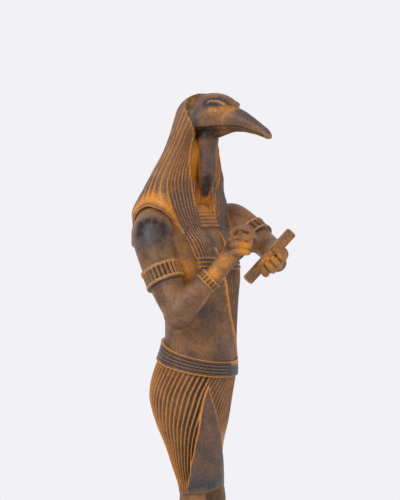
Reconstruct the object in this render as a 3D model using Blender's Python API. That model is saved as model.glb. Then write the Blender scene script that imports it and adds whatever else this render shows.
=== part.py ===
# An ibis-headed standing figure in Egyptian dress, cast in one with its low rectangular base.
# The figure faces -Y and its own right side is at -X. The origin is the middle of the base's underside.

import math

import bmesh
import bpy
import numpy as np
from mathutils import Matrix, Vector

# Driving sizes, in metres
figure_height = 0.286  # soles to crown
base_height = 0.018
base_side_margin = 0.014  # from the outer side of a foot to the base's edge
base_toe_margin = 0.009
base_heel_margin = 0.011
base_edge_round = 0.0012
palette_length = 0.0346
palette_width = 0.0058
palette_thickness = 0.0034
palette_edge_round = 0.0004
sole_overlap = 0.0005  # the feet run this far into the base, so that the two are one body

# The carving is laid out in millimetres from the soles to the head's crown, and follows figure_height.
# side is to the figure's left, front is the way it faces, up is above the soles.
head_middle = (0.0, 9.1, 276.4)
head_half = (9.4, 15.6, 9.6)
unit = figure_height / (head_middle[2] + head_half[2])

# Feet: side of the middle, front of the heel, and the size of a foot
foot_side = 7.8
foot_length = 41.0
foot_half_width = 6.6
right_heel_front = -15.0
left_heel_front = -1.0

heel_line = right_heel_front * unit - base_heel_margin
toe_line = (left_heel_front + foot_length) * unit + base_toe_margin
base_depth = toe_line - heel_line
base_width = 2 * ((foot_side + foot_half_width) * unit + base_side_margin)
base_middle = (toe_line + heel_line) / 2

# Body: up, half width, half depth, front of the middle
torso_sections = (
    (134.0, 19.0, 15.5, -3.5),
    (144.6, 21.8, 17.4, -1.0),
    (157.6, 20.8, 16.6, 0.0),
    (178.4, 22.9, 16.6, 0.0),
    (192.9, 26.0, 17.2, -1.0),
    (200.7, 27.6, 17.1, -3.0),
    (209.6, 29.6, 16.4, -6.0),
    (215.8, 30.7, 15.7, -8.2),
    (222.6, 29.0, 14.6, -10.4),
    (228.5, 23.5, 12.6, -12.0),
)
kilt_sections = (
    (78.5, 13.8, 10.1, 1.0),
    (82.2, 14.0, 10.2, 0.5),
    (91.5, 15.6, 11.4, -1.6),
    (102.0, 17.7, 13.2, -3.5),
    (116.0, 21.8, 17.7, -5.2),
    (129.5, 25.0, 19.8, -5.7),
    (141.0, 24.2, 20.1, -3.4),
    (148.0, 22.8, 18.8, -1.9),
    (155.0, 21.5, 17.7, -0.6),
    (163.0, 21.0, 17.0, 0.0),
)
wig_sections = (
    (206.9, 30.2, 17.2, -10.4),
    (215.8, 30.2, 17.2, -10.4),
    (224.0, 30.2, 17.2, -13.0),
    (233.0, 26.0, 15.6, -13.5),
    (245.0, 23.4, 13.5, -8.8),
    (256.4, 17.2, 13.0, -5.2),
    (264.2, 15.6, 13.8, -1.8),
    (273.0, 13.4, 14.8, 1.3),
    (278.6, 11.2, 11.0, -0.2),
    (282.0, 8.8, 7.4, -0.6),
    (284.4, 6.0, 5.0, 0.6),
    (285.7, 3.4, 3.0, 2.4),
)

# Wig: angles are from the front. Its lines run from the crown to the hem and leave over the front edge.
wig_top = 285.7
wig_lines = 18  # carved lines on each half
wig_front_lines = 8  # the finer ones, that run down into the lappet
wig_travels = (0.0, 0.04, 0.10, 0.18, 0.29, 0.41, 0.54, 0.67, 0.80, 0.91, 1.0)  # shares of the way down
wig_strip_steps = 3  # columns in the bare strip before the front edge
wig_front_edge = (
    (206.9, 10.0),
    (228.0, 14.0),
    (233.0, 16.0),
    (245.0, 28.0),
    (256.4, 44.0),
    (264.2, 54.0),
    (273.0, 80.0),
    (285.7, 106.0),
)
wig_lines_gone = (  # lines that have left over the front edge, at a height
    (206.9, 0.0),
    (234.0, 0.0),
    (245.0, 1.0),
    (256.0, 3.0),
    (264.0, 4.4),
    (268.0, 6.2),
    (271.5, 8.0),
    (277.0, 10.0),
    (282.0, 12.0),
    (285.7, 13.5),
)
wig_lappet_edge = (  # the last of the finer lines
    (206.9, 31.0),
    (215.0, 38.0),
    (220.0, 41.0),
    (228.0, 48.0),
    (241.0, 62.0),
    (256.4, 71.6),
    (264.2, 74.6),
    (271.5, 76.0),
)
wig_bed_depth = (  # how far the strip before the front edge is set in, as a share of the section
    (206.9, 0.30),
    (255.0, 0.30),
    (266.0, 0.52),
    (284.4, 0.45),
)
wig_hem = (
    (0.0, 222.0),
    (24.0, 218.0),
    (38.0, 214.0),
    (44.0, 218.2),
    (48.5, 221.2),
    (56.5, 224.8),
    (69.5, 227.0),
    (86.0, 227.8),
    (100.5, 225.5),
    (112.5, 221.0),
    (125.0, 213.0),
    (137.0, 208.2),
    (180.0, 207.0),
)
wig_back_flare = (  # how far the wig stands off its sections over the shoulder blades
    (206.9, 4.3),
    (217.0, 3.2),
    (222.5, 2.5),
    (228.0, 1.5),
    (236.0, 0.0),
)
wig_back_flare_from = 84.0
wig_back_flare_full = 124.0
wig_cheek_flare = (  # the same beside the neck
    (216.0, 0.0),
    (222.0, 1.6),
    (230.0, 3.4),
    (236.0, 3.2),
    (241.0, 2.2),
    (246.0, 0.4),
    (256.4, 0.3),
    (260.0, -1.6),
    (264.0, -3.2),
    (270.0, -2.4),
    (276.0, 0.0),
)
wig_cheek_middle = 45.0
wig_cheek_spread = 30.0
line_depth = 0.55

# Trim: a raised cord just above the wig's hem
trim_radius = 0.85
trim_rise = 0.4
trim_lift = 0.4
trim_angles = (44.0, 50.0, 58.0, 66.0, 78.0, 92.0, 106.0, 118.0, 128.0, 138.0, 152.0, 168.0)

# Lappets: up, inner side, inner front, outer side, outer front, bulge
lappet_sections = (
    (194.5, 5.2, 16.9, 17.2, 13.0, 1.2),
    (200.7, 5.2, 16.0, 17.7, 11.4, 1.5),
    (205.0, 5.5, 14.0, 19.2, 9.4, 1.7),
    (209.6, 5.9, 11.9, 19.8, 7.2, 1.8),
    (213.0, 6.0, 10.4, 20.4, 5.6, 1.9),
    (217.4, 6.4, 6.9, 19.6, 3.0, 1.9),
    (222.6, 6.9, 4.9, 21.7, 1.2, 1.7),
    (227.8, 7.1, 3.7, 23.3, -0.5, 1.6),
    (236.0, 8.7, 3.0, 23.2, -2.9, 1.4),
    (240.0, 10.2, 2.0, 22.0, -4.2, 1.0),
)
lappet_hem_levels = (194.5, 196.0, 197.2, 198.4, 199.6)  # plain and grooved by turns
lappet_hem_top = 200.9
lappet_levels = (208.0, 213.0, 219.0, 225.0, 231.0, 240.0)
lappet_depth = 7.0
lappet_inset = 2.0  # the back face is this much narrower on each side

# Kilt: the pleats' pitch and how far they sweep round, in degrees, and the smooth flap's two edges
pleat_pitch = 9.0
pleat_depth = 0.7
pleat_sweep = (
    (78.5, 56.0),
    (82.2, 53.0),
    (99.0, 37.0),
    (112.0, 26.0),
    (123.8, 13.0),
    (141.0, 0.0),
    (150.0, -5.0),
)
pleats_start = 24.0
pleats_stop = 300.0
front_columns = 12
flap_rise = 0.5
flap_near_edge = (
    (78.5, 86.0),
    (81.1, 81.0),
    (90.0, 62.0),
    (99.8, 46.0),
    (109.7, 37.0),
    (119.6, 33.0),
    (135.0, 24.0),
)
flap_far_edge = (
    (78.5, -60.0),
    (97.5, -29.0),
    (103.0, -20.0),
    (113.9, 1.0),
    (122.2, 10.0),
    (128.4, 17.0),
    (135.0, 24.0),
)
kilt_hem_up = 79.5
kilt_hem_rise = (  # the hem's own height over kilt_hem_up, at an angle from the front
    (-180.0, 0.5),
    (-95.0, 3.7),
    (-38.0, 3.1),
    (0.0, 0.9),
    (30.0, -0.6),
    (90.0, -1.3),
    (140.0, -0.7),
    (180.0, 0.5),
)
kilt_levels = (0.0, 0.07, 0.19, 0.32, 0.45, 0.58, 0.70, 0.81, 0.91, 1.0)  # shares of the way up to the belt

# Belt, tilted down to the front
belt_front_up = 142.6
belt_back_up = 154.6
belt_front_height = 8.0
belt_back_height = 9.4
belt_thickness = 0.9
belt_ridges = 4
belt_ridge_depth = 0.45
belt_sunk = 3.0  # its two rims run this far into the body

# Shawl over the left flank: its front edge as an angle
shawl_edge = ((145.0, -48.0), (149.8, -44.0), (170.6, -9.0), (191.4, 4.0), (205.0, 8.0))
shawl_thickness = 0.8
shawl_groove_share = 0.35
shawl_back_edge = -160.0
shawl_top = 210.0
torso_levels = (140.0, 150.0, 160.0, 172.0, 184.0, 194.0, 203.0, 212.0, 221.0, 228.5)
torso_columns = 32

# Arms: side, front, up and radius along each
right_upper_arm = (
    (-29.4, -7.6, 216.4, 9.2),
    (-31.2, -6.7, 210.6, 10.2),
    (-31.6, -1.0, 195.0, 9.3),
    (-32.0, 6.0, 182.0, 8.4),
    (-31.8, 10.6, 174.0, 7.6),
)
right_forearm = (
    (-32.2, 10.8, 173.2, 7.7),
    (-28.6, 15.6, 179.4, 7.5),
    (-24.4, 20.6, 186.4, 6.2),
    (-20.8, 25.0, 191.6, 5.0),
    (-17.6, 31.0, 200.0, 4.9),
    (-15.4, 36.0, 206.0, 5.6),
)
left_upper_arm = (
    (28.8, -6.0, 219.5, 8.0),
    (31.5, -2.6, 219.6, 8.8),
    (31.9, 7.0, 214.8, 8.0),
    (31.6, 14.5, 209.5, 7.2),
    (31.2, 20.0, 206.2, 6.4),
)
left_forearm = (
    (31.2, 20.4, 206.0, 6.5),
    (25.0, 28.4, 202.4, 5.8),
    (17.6, 36.4, 199.4, 4.7),
    (10.4, 42.4, 198.2, 5.0),
)
right_shoulder = (-30.2, -6.7, 215.0)
right_shoulder_half = (10.2, 10.2, 10.0)
left_shoulder = (30.4, -4.6, 218.2)
left_shoulder_half = (9.4, 9.4, 9.4)
shoulder_back_side = 28.5
shoulder_back_front = -13.5
shoulder_back_up = 212.5
shoulder_back_half = (8.2, 6.8, 10.6)
right_elbow = (-32.0, 10.8, 172.4)
right_elbow_half = (7.4, 7.8, 8.4)
left_elbow = (31.0, 20.2, 206.0)
left_elbow_half = (6.6, 6.8, 6.6)
right_fist = (-14.2, 38.4, 208.6)
left_fist = (4.4, 47.0, 198.2)
fist_radius = 6.6
fist_half = (fist_radius, fist_radius * 1.05, fist_radius * 1.1)
finger_radius = 2.05
fingers = 4
finger_spacing = finger_radius * 1.65
finger_knuckles = (-0.9, -0.55, 0.0, 0.55, 0.95)  # shares of the fist's radius along the finger
finger_stand_off = 0.86  # share of the fist's radius at the middle of a finger
finger_bend = 0.42
right_thumb = (  # from the fist's middle
    (1.0, -3.0, 5.6, 2.2),
    (2.5, 2.5, 6.8, 2.3),
    (3.0, 6.5, 4.6, 2.0),
)

# Ways that the hands and the palette face: side, front, up
across_body = (0.616, 0.788, 0.0)
out_from_body = (-0.788, 0.616, 0.0)
upright = (0.0, 0.0, 1.0)
left_finger_run = (0.36, 0.46, -0.81)
left_finger_order = (0.5, 0.64, 0.58)

# Bands round the arms: the share of the way from the arm's third station to its fourth, height,
# upright bars and how far the rims stand out
armlet_run = 2
right_armlet = (0.25, 10.0, 13, 1.5)
left_armlet = (0.55, 8.0, 13, 1.5)
bracelet = (0.55, 5.5, 10, 0.9)
band_sunk = 2.0
band_bar_share = 0.6  # of the rim
band_gap_share = 0.13

# Palette: its middle and its long way
palette_middle = (-0.6, 45.8, 201.8)
palette_run = (0.415, 0.531, 0.738)

# Head and neck
forehead_middle = (0.0, 17.8, 279.5)
forehead_half = (5.8, 5.2, 4.7)
cheeks_middle = (0.0, 3.8, 272.6)
cheeks_half = (12.4, 10.4, 8.6)
beak_sections = (
    (12.0, 273.0, 8.4, 8.2),
    (20.0, 272.6, 7.2, 6.8),
    (24.6, 272.0, 6.3, 5.5),
    (28.8, 271.1, 5.5, 4.6),
    (33.2, 269.5, 4.6, 3.8),
    (37.2, 267.9, 3.8, 3.2),
    (41.4, 265.9, 3.0, 2.6),
    (44.6, 264.3, 2.4, 2.1),
    (46.3, 263.3, 1.3, 1.2),
)
throat = (
    (0.0, 4.6, 272.0, 7.2),
    (0.0, 4.7, 264.0, 5.6),
    (0.0, 4.6, 256.0, 4.7),
    (0.0, 4.6, 246.0, 4.8),
    (0.0, 4.1, 238.0, 3.9),
    (0.0, 3.1, 232.6, 2.6),
    (0.0, 2.0, 230.0, 1.2),
)
jaw = (
    (0.0, 5.5, 267.4, 5.6),
    (0.0, 11.2, 267.6, 5.0),
    (0.0, 15.8, 268.1, 4.2),
    (0.0, 19.8, 268.5, 3.5),
    (0.0, 25.5, 268.9, 2.6),
)
eye_middle = (8.0, 15.4, 277.0)
eye_half = (1.1, 2.5, 1.5)
brow = (
    (7.9, 9.4, 280.6, 0.5),
    (7.6, 12.4, 281.6, 1.0),
    (6.8, 16.0, 281.4, 1.0),
    (5.7, 19.4, 279.6, 0.5),
)

# Ribs across the chest, under the throat
rib_count = 5
rib_top_up = 224.4
rib_pitch = 1.9
rib_half_length = 6.5
rib_radius = 0.7

# Legs: side, front, up and radius of each
leg_into_kilt = 4.5  # the legs run this far up inside the kilt
leg_top = kilt_hem_up + leg_into_kilt
right_leg = (
    (-6.4, 0.2, leg_top, 7.2),
    (-6.8, 0.4, 73.0, 7.0),
    (-7.2, -4.0, 55.0, 7.3),
    (-7.5, -5.4, 36.0, 5.6),
    (-7.8, -7.6, 14.0, 4.1),
    (-7.8, -8.0, 3.0, 4.4),
)
left_leg = (
    (6.4, 1.4, leg_top, 7.2),
    (6.8, 3.0, 73.0, 7.0),
    (7.2, 1.4, 55.0, 7.3),
    (7.5, 3.2, 36.0, 5.6),
    (7.8, 5.8, 14.0, 4.1),
    (7.8, 6.2, 3.0, 4.4),
)
leg_web_width = 7.0  # the stone left between the legs, up into the kilt
leg_web_depth = 9.0
leg_web_front = 0.5
foot_profile = (  # share of the length, share of the half width, height
    (0.0, 0.55, 5.0),
    (0.06, 0.8, 9.0),
    (0.30, 0.82, 11.0),
    (0.50, 0.86, 8.4),
    (0.72, 1.0, 5.6),
    (0.90, 0.96, 4.2),
    (1.0, 0.66, 3.0),
)
foot_columns = 12

statue_colour = (0.155, 0.085, 0.042)
statue_roughness = 0.72

kept_share = 0.62  # of the joined body's triangles


def place(side, front, up):
    return Vector((side * unit, base_middle - front * unit, base_height + up * unit))


def along(table, where):
    """The values of a table at a place between its rows, on a smooth curve through them."""
    rows = np.array(table, float)
    rows = rows[np.argsort(rows[:, 0])]
    knots = rows[:, 0]
    values = rows[:, 1:]
    slopes = np.gradient(values, knots, axis=0)
    where = np.clip(np.asarray(where, float), knots[0], knots[-1])
    low = np.clip(np.searchsorted(knots, where, side="right") - 1, 0, len(knots) - 2)
    gap = knots[low + 1] - knots[low]
    s = ((where - knots[low]) / gap)[..., None]
    gap = gap[..., None]
    first = (1 + 2 * s) * (1 - s) ** 2 * values[low] + s * (1 - s) ** 2 * gap * slopes[low]
    second = s * s * (3 - 2 * s) * values[low + 1] + s * s * (s - 1) * gap * slopes[low + 1]
    result = first + second
    return result[..., 0] if values.shape[1] == 1 else result


def straight(table, where):
    """The single value of a table at a place, on straight runs between its rows."""
    rows = sorted(table)
    return np.interp(where, [row[0] for row in rows], [row[1] for row in rows])


def on_section(sections, up, degrees, grow=0.0, share=1.0):
    """A point on a body's section; degrees run from the front towards the figure's right side."""
    half_width, half_depth, middle = along(sections, up)
    turn = math.radians(degrees)
    side = -(half_width * share + grow) * math.sin(turn)
    front = middle + (half_depth * share + grow) * math.cos(turn)
    return side, front, up


def new_object(name, mesh):
    made = bpy.data.objects.new(name, mesh)
    workshop.objects.link(made)
    return made


def loft(name, rings):
    """A closed body through rings of equal count, with a flat or fanned cap on each end."""
    shape = bmesh.new()
    rows = [[shape.verts.new(place(*point)) for point in ring] for ring in rings]
    count = len(rows[0])
    for below, above in zip(rows, rows[1:]):
        for step in range(count):
            after = (step + 1) % count
            shape.faces.new((below[step], below[after], above[after], above[step]))
    for ring in (rows[0], rows[-1]):
        middle = shape.verts.new(sum((vert.co for vert in ring), Vector()) / count)
        for step in range(count):
            shape.faces.new((ring[step], ring[(step + 1) % count], middle))
    return finished(name, shape)


def finished(name, shape):
    bmesh.ops.triangulate(shape, faces=shape.faces[:])
    bmesh.ops.recalc_face_normals(shape, faces=shape.faces[:])
    if shape.calc_volume(signed=True) < 0:
        bmesh.ops.reverse_faces(shape, faces=shape.faces[:])
    mesh = bpy.data.meshes.new(name)
    shape.to_mesh(mesh)
    shape.free()
    return new_object(name, mesh)


def tube(name, stations, bevel_resolution=2, steps=3, round_ends=True):
    """A round limb through stations of side, front, up and radius, with rounded ends."""
    curve = bpy.data.curves.new(name, "CURVE")
    curve.dimensions = "3D"
    curve.bevel_depth = 1.0
    curve.bevel_resolution = bevel_resolution
    curve.resolution_u = steps
    curve.use_fill_caps = True
    spline = curve.splines.new("POLY")
    points = smooth_stations(stations, steps)
    if round_ends:
        points = rounded_off(points)
    spline.points.add(len(points) - 1)
    for knot, (where, radius) in zip(spline.points, points):
        knot.co = (*where, 1.0)
        knot.radius = radius
    source = new_object(name, curve)
    bpy.context.view_layer.update()
    evaluated = source.evaluated_get(bpy.context.evaluated_depsgraph_get())
    mesh = bpy.data.meshes.new_from_object(evaluated)
    shape = bmesh.new()
    shape.from_mesh(mesh)
    bmesh.ops.remove_doubles(shape, verts=shape.verts[:], dist=1e-6)
    bpy.data.objects.remove(source)
    return finished(name, shape)


def smooth_stations(stations, steps):
    rows = np.array([(index, *station) for index, station in enumerate(stations)], float)
    wanted = np.linspace(0, len(stations) - 1, (len(stations) - 1) * steps + 1)
    return [(place(*row[:3]), row[3] * unit) for row in along(rows, wanted)]


def rounded_off(points):
    (first, first_radius), (second, _) = points[0], points[1]
    (last, last_radius), (before, _) = points[-1], points[-2]
    start = first + (first - second).normalized() * first_radius * 0.45
    stop = last + (last - before).normalized() * last_radius * 0.45
    return [(start, first_radius * 0.55), *points, (stop, last_radius * 0.55)]


def ball(name, middle, half, segments=16, rings=10):
    shape = bmesh.new()
    bmesh.ops.create_uvsphere(shape, u_segments=segments, v_segments=rings, radius=1.0)
    bmesh.ops.scale(shape, vec=Vector(half) * unit, verts=shape.verts[:])
    bmesh.ops.translate(shape, vec=place(*middle), verts=shape.verts[:])
    return finished(name, shape)


def block(name, size, middle, axes=None, edge_round=0.0):
    shape = bmesh.new()
    bmesh.ops.create_cube(shape, size=1.0)
    bmesh.ops.scale(shape, vec=Vector(size), verts=shape.verts[:])
    if edge_round:
        bmesh.ops.bevel(shape, geom=shape.edges[:], offset=edge_round, segments=1, affect="EDGES")
    if axes is not None:
        shape.transform(axes.to_4x4())
    bmesh.ops.translate(shape, vec=Vector(middle), verts=shape.verts[:])
    return finished(name, shape)


def torso():
    rings = []
    for up in torso_levels:
        edge = straight(shawl_edge, up)
        ring = []
        for column in range(torso_columns):
            degrees = 180.0 - 360.0 * column / torso_columns
            grow = 0.0
            if up < shawl_top and shawl_back_edge < degrees < edge:
                grow = shawl_thickness if column % 2 else shawl_thickness * shawl_groove_share
            ring.append(on_section(torso_sections, up, degrees, grow))
        rings.append(ring)
    return loft("torso", rings)


def eased(low, high, value):
    """From 0 to 1 on a smooth step between two values."""
    share = min(1.0, max(0.0, (value - low) / (high - low)))
    return share * share * (3 - 2 * share)


def hem_up(degrees):
    return float(along(wig_hem, degrees))


def wig_flare(up, degrees):
    """How far the wig stands off its sections here."""
    back = float(straight(wig_back_flare, up)) * eased(wig_back_flare_from, wig_back_flare_full, degrees)
    beside = float(straight(wig_cheek_flare, up))
    return back + beside * math.exp(-(((degrees - wig_cheek_middle) / wig_cheek_spread) ** 2))


def wig_degrees(line, up):
    """Where a carved line lies at a height; a line below nought is in the bare strip in front."""
    edge = float(straight(wig_front_edge, up))
    gone = float(straight(wig_lines_gone, up))
    middle = max(float(straight(wig_lappet_edge, up)), edge + 0.5)
    knee = max(wig_front_lines, gone + 0.1)
    if line < gone:
        return edge * (line + 1.0) / (gone + 1.0)
    if line < knee:
        return edge + (middle - edge) * (line - gone) / (knee - gone)
    return middle + (180.0 - middle) * (line - knee) / (wig_lines - knee)


def wig_point(line, is_groove, travel):
    up = wig_top
    for _ in range(6):
        degrees = wig_degrees(line, up)
        up = wig_top + (hem_up(degrees) - wig_top) * travel
    edge = float(straight(wig_front_edge, up))
    inside = eased(-4.0, 4.0, edge - degrees)
    groove = line_depth if is_groove and degrees > edge else 0.0
    bed = float(straight(wig_bed_depth, up)) * inside
    return on_section(wig_sections, up, degrees, wig_flare(up, degrees) - groove, 1.0 - bed)


def wig():
    strip = [step / wig_strip_steps - 1.0 for step in range(wig_strip_steps)]
    rings = []
    for travel in reversed(wig_travels):
        right = [wig_point(line, False, travel) for line in strip]
        right += [wig_point(step / 2, step % 2 == 0, travel) for step in range(2 * wig_lines + 1)]
        left = [(-x, y, z) for x, y, z in right[1:-1]]
        rings.append(right[::-1] + left)
    return loft("wig", rings)


def lappet(side_sign):
    rings = []
    columns = 2 * wig_front_lines
    for index, up in enumerate((*lappet_hem_levels, lappet_hem_top, *lappet_levels)):
        inner_side, inner_front, outer_side, outer_front, bulge = along(lappet_sections, up)
        bar_groove = line_depth if index % 2 and up < lappet_hem_top else 0.0
        ring = []
        for step in range(columns + 1):
            share = step / columns
            line_groove = line_depth if up > lappet_hem_top and step % 2 == 0 and 0 < step < columns else 0.0
            side = inner_side + (outer_side - inner_side) * share
            front = inner_front + (outer_front - inner_front) * share + bulge * 4 * share * (1 - share)
            ring.append((side_sign * side, front - bar_groove - line_groove, up))
        ring.append((side_sign * (outer_side - lappet_inset), outer_front - lappet_depth, up))
        ring.append((side_sign * (inner_side + lappet_inset), inner_front - lappet_depth, up))
        rings.append(ring)
    return loft("lappet", rings)


def kilt_angles():
    """Columns round the kilt at the belt: a ridge and a groove for each pleat, then the smooth front."""
    count = int((pleats_stop - pleats_start) / pleat_pitch)
    pleats = [pleats_start + pleat_pitch * step / 2 for step in range(2 * count + 1)]
    rest = 360.0 - (pleats[-1] - pleats_start)
    front = [pleats[-1] + rest * step / front_columns for step in range(1, front_columns)]
    return pleats, front


def kilt():
    pleats, front = kilt_angles()
    rings = []
    for share in kilt_levels:
        up = kilt_hem_up + (belt_front_up - kilt_hem_up) * share
        sweep = float(straight(pleat_sweep, up))
        near_edge = float(straight(flap_near_edge, up))
        far_edge = float(straight(flap_far_edge, up))
        ring = []
        for step, degrees in enumerate(pleats + front):
            turned = degrees + sweep
            seen = (turned + 180.0) % 360.0 - 180.0
            on_flap = far_edge - 1.0 < seen < near_edge + 1.0
            on_pleats = step < len(pleats) and not on_flap
            grow = -pleat_depth if on_pleats and step % 2 and 0.0 < share < 1.0 else 0.0
            if on_flap:
                grow = flap_rise
            hem = float(straight(kilt_hem_rise, seen)) * (1 - share) ** 3
            ring.append(on_section(kilt_sections, up + belt_rise(turned) * share**1.5 + hem, turned, grow))
        rings.append(ring)
    return loft("kilt", rings)


def belt_rise(degrees):
    """How much higher the belt is here than in front."""
    return (belt_back_up - belt_front_up) * (1 - math.cos(math.radians(degrees))) / 2


def belt():
    rows = 2 * belt_ridges + 1
    height_gain = belt_back_height - belt_front_height
    rings = []
    for row in range(-1, rows + 1):
        share = min(max(row, 0), rows - 1) / (rows - 1)
        ring = []
        for column in range(torso_columns):
            degrees = 360.0 * column / torso_columns
            rise = belt_rise(degrees)
            height = belt_front_height + height_gain * rise / (belt_back_up - belt_front_up)
            up = belt_front_up + rise + height * (share - 0.5)
            grow = belt_thickness if row % 2 else belt_thickness - belt_ridge_depth
            if row < 0 or row == rows:
                grow = -belt_sunk
            ring.append(on_section(kilt_sections, up, degrees, grow))
        rings.append(ring)
    return loft("belt", rings)


def frame_along(start, stop):
    run = (Vector(stop) - Vector(start)).normalized()
    across = run.cross(Vector((0.0, 0.0, 1.0))).normalized()
    over = across.cross(run)
    return run, across, over


def band(name, arm, share, height, bars, rim):
    """A ring round an arm, with plain rims and upright bars between them."""
    low = Vector(arm[armlet_run][:3])
    high = Vector(arm[armlet_run + 1][:3])
    radius = arm[armlet_run][3] * (1 - share) + arm[armlet_run + 1][3] * share
    middle = low.lerp(high, share)
    run, across, over = frame_along(low, high)
    bar = rim * band_bar_share
    gap = rim * band_gap_share
    rows = (
        (-0.5, -band_sunk, -band_sunk),
        (-0.5, rim, rim),
        (-0.32, rim, rim),
        (-0.28, bar, gap),
        (0.28, bar, gap),
        (0.32, rim, rim),
        (0.5, rim, rim),
        (0.5, -band_sunk, -band_sunk),
    )
    rings = []
    for share_along, at_bar, at_gap in rows:
        ring = []
        for step in range(2 * bars):
            turn = math.tau * step / (2 * bars)
            reach = radius + (at_gap if step % 2 else at_bar)
            point = middle + run * (height * share_along)
            point = point + (across * math.cos(turn) + over * math.sin(turn)) * reach
            ring.append(tuple(point))
        rings.append(ring)
    return loft(name, rings)


def fist(name, middle, run, toward, up_way):
    """A closed hand: a ball, with bent fingers one over the other on the side that toward points to."""
    middle = Vector(middle)
    run = Vector(run).normalized()
    toward = Vector(toward).normalized()
    up_way = Vector(up_way).normalized()
    pieces = [ball(name, middle, fist_half, 14, 9)]
    for finger in range(fingers):
        level = middle + up_way * (finger - (fingers - 1) / 2) * finger_spacing
        stations = []
        for share in finger_knuckles:
            out = finger_stand_off - finger_bend * share * share
            point = level + run * (fist_radius * share) + toward * (fist_radius * out)
            stations.append((*point, finger_radius))
        pieces.append(tube(name + "_finger", stations, 1, 1))
    return pieces


def hands():
    pieces = fist("right_hand", right_fist, across_body, out_from_body, upright)
    pieces += fist("left_hand", left_fist, left_finger_run, out_from_body, left_finger_order)
    thumb = []
    for side, front, up, radius in right_thumb:
        thumb.append((right_fist[0] + side, right_fist[1] + front, right_fist[2] + up, radius))
    pieces.append(tube("right_thumb", thumb, 1, 2))
    return pieces


def palette():
    side, front, up = palette_run
    long_way = Vector((side, -front, up)).normalized()
    thin_way = Vector((out_from_body[0], -out_from_body[1], out_from_body[2]))
    wide_way = thin_way.cross(long_way).normalized()
    axes = Matrix((wide_way, thin_way, long_way)).transposed()
    size = (palette_width, palette_thickness, palette_length)
    return block("palette", size, place(*palette_middle), axes, palette_edge_round)


def head():
    pieces = [
        ball("head", head_middle, head_half, 18, 12),
        ball("forehead", forehead_middle, forehead_half, 12, 8),
        ball("cheeks", cheeks_middle, cheeks_half, 16, 10),
    ]
    rings = []
    for front, up, half_height, half_width in beak_sections:
        ring = []
        for step in range(12):
            turn = math.tau * step / 12
            ring.append((half_width * math.sin(turn), front, up + half_height * math.cos(turn)))
        rings.append(ring)
    pieces.append(loft("beak", rings))
    pieces.append(tube("throat", throat, 2, 2))
    pieces.append(tube("jaw", jaw, 2, 1))
    for side_sign in (-1, 1):
        eye = (side_sign * eye_middle[0], eye_middle[1], eye_middle[2])
        pieces.append(ball("eye", eye, eye_half, 8, 6))
        arch = [(side_sign * side, front, up, radius) for side, front, up, radius in brow]
        pieces.append(tube("brow", arch, 1, 1))
    return pieces


def shoulder_trim():
    """The raised edge of the collar, over one shoulder, across the back and over the other."""
    stations = []
    for degrees in (*trim_angles, *(360.0 - angle for angle in reversed(trim_angles))):
        half = min(degrees, 360.0 - degrees)
        up = hem_up(half) + trim_rise
        middle = on_section(wig_sections, up, degrees, wig_flare(up, half) + trim_lift)
        stations.append((*middle, trim_radius))
    return tube("shoulder_trim", stations, 1, 1)


def chest_ribs():
    pieces = []
    for step in range(rib_count):
        up = rib_top_up - rib_pitch * step
        half_width, half_depth, middle = along(torso_sections, up)
        front = middle + half_depth
        ends = front - rib_radius / 2
        stations = [
            (-rib_half_length, ends, up, rib_radius * 0.8),
            (0.0, front, up, rib_radius),
            (rib_half_length, ends, up, rib_radius * 0.8),
        ]
        pieces.append(tube("chest_rib", stations, 0, 1))
    return pieces


def legs_and_feet():
    pieces = [tube("right_leg", right_leg, 3, 2), tube("left_leg", left_leg, 3, 2)]
    for side, heel in ((-foot_side, right_heel_front), (foot_side, left_heel_front)):
        rings = []
        for share, half_width, height in foot_profile:
            half = foot_half_width * half_width
            ring = []
            for step in range(foot_columns):
                turn = math.tau * step / foot_columns
                rise = max(-sole_overlap / unit, height * (math.cos(turn) + 0.3) / 1.3)
                width = half * math.copysign(abs(math.sin(turn)) ** 0.6, math.sin(turn))
                ring.append((side + width, heel + foot_length * share, rise))
            rings.append(ring)
        pieces.append(loft("foot", rings))
    size = (leg_web_width * unit, leg_web_depth * unit, leg_top * unit + sole_overlap)
    middle = place(0.0, leg_web_front, leg_top / 2) - Vector((0.0, 0.0, sole_overlap / 2))
    pieces.append(block("leg_web", size, middle))
    return pieces


def base():
    size = (base_width, base_depth, base_height)
    return block("base", size, (0.0, 0.0, base_height / 2), None, base_edge_round)


def joined(pieces):
    """One closed body out of overlapping closed pieces."""
    whole = pieces[0]
    for piece in pieces[1:]:
        union = whole.modifiers.new("union", "BOOLEAN")
        union.operation = "UNION"
        union.solver = "EXACT"
        union.object = piece
        bpy.context.view_layer.update()
        evaluated = whole.evaluated_get(bpy.context.evaluated_depsgraph_get())
        mesh = bpy.data.meshes.new_from_object(evaluated)
        whole.modifiers.clear()
        whole.data = mesh
        bpy.data.objects.remove(piece)
    return thinned(whole)


def thinned(whole):
    """Drops the triangles that the joins added where the surface hardly turns."""
    thin = whole.modifiers.new("thin", "DECIMATE")
    thin.ratio = kept_share
    thin.use_collapse_triangulate = True
    bpy.context.view_layer.update()
    evaluated = whole.evaluated_get(bpy.context.evaluated_depsgraph_get())
    mesh = bpy.data.meshes.new_from_object(evaluated)
    whole.modifiers.clear()
    whole.data = mesh
    return whole


def statue_material():
    material = bpy.data.materials.new("patinated_cast_stone")
    material.use_nodes = True
    shader = material.node_tree.nodes["Principled BSDF"]
    shader.inputs["Base Color"].default_value = (*statue_colour, 1.0)
    shader.inputs["Roughness"].default_value = statue_roughness
    shader.inputs["Metallic"].default_value = 0.0
    return material


for old in list(bpy.data.objects):
    bpy.data.objects.remove(old, do_unlink=True)

workshop = bpy.data.collections.new("ibis_headed_statue")
bpy.context.scene.collection.children.link(workshop)

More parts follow.
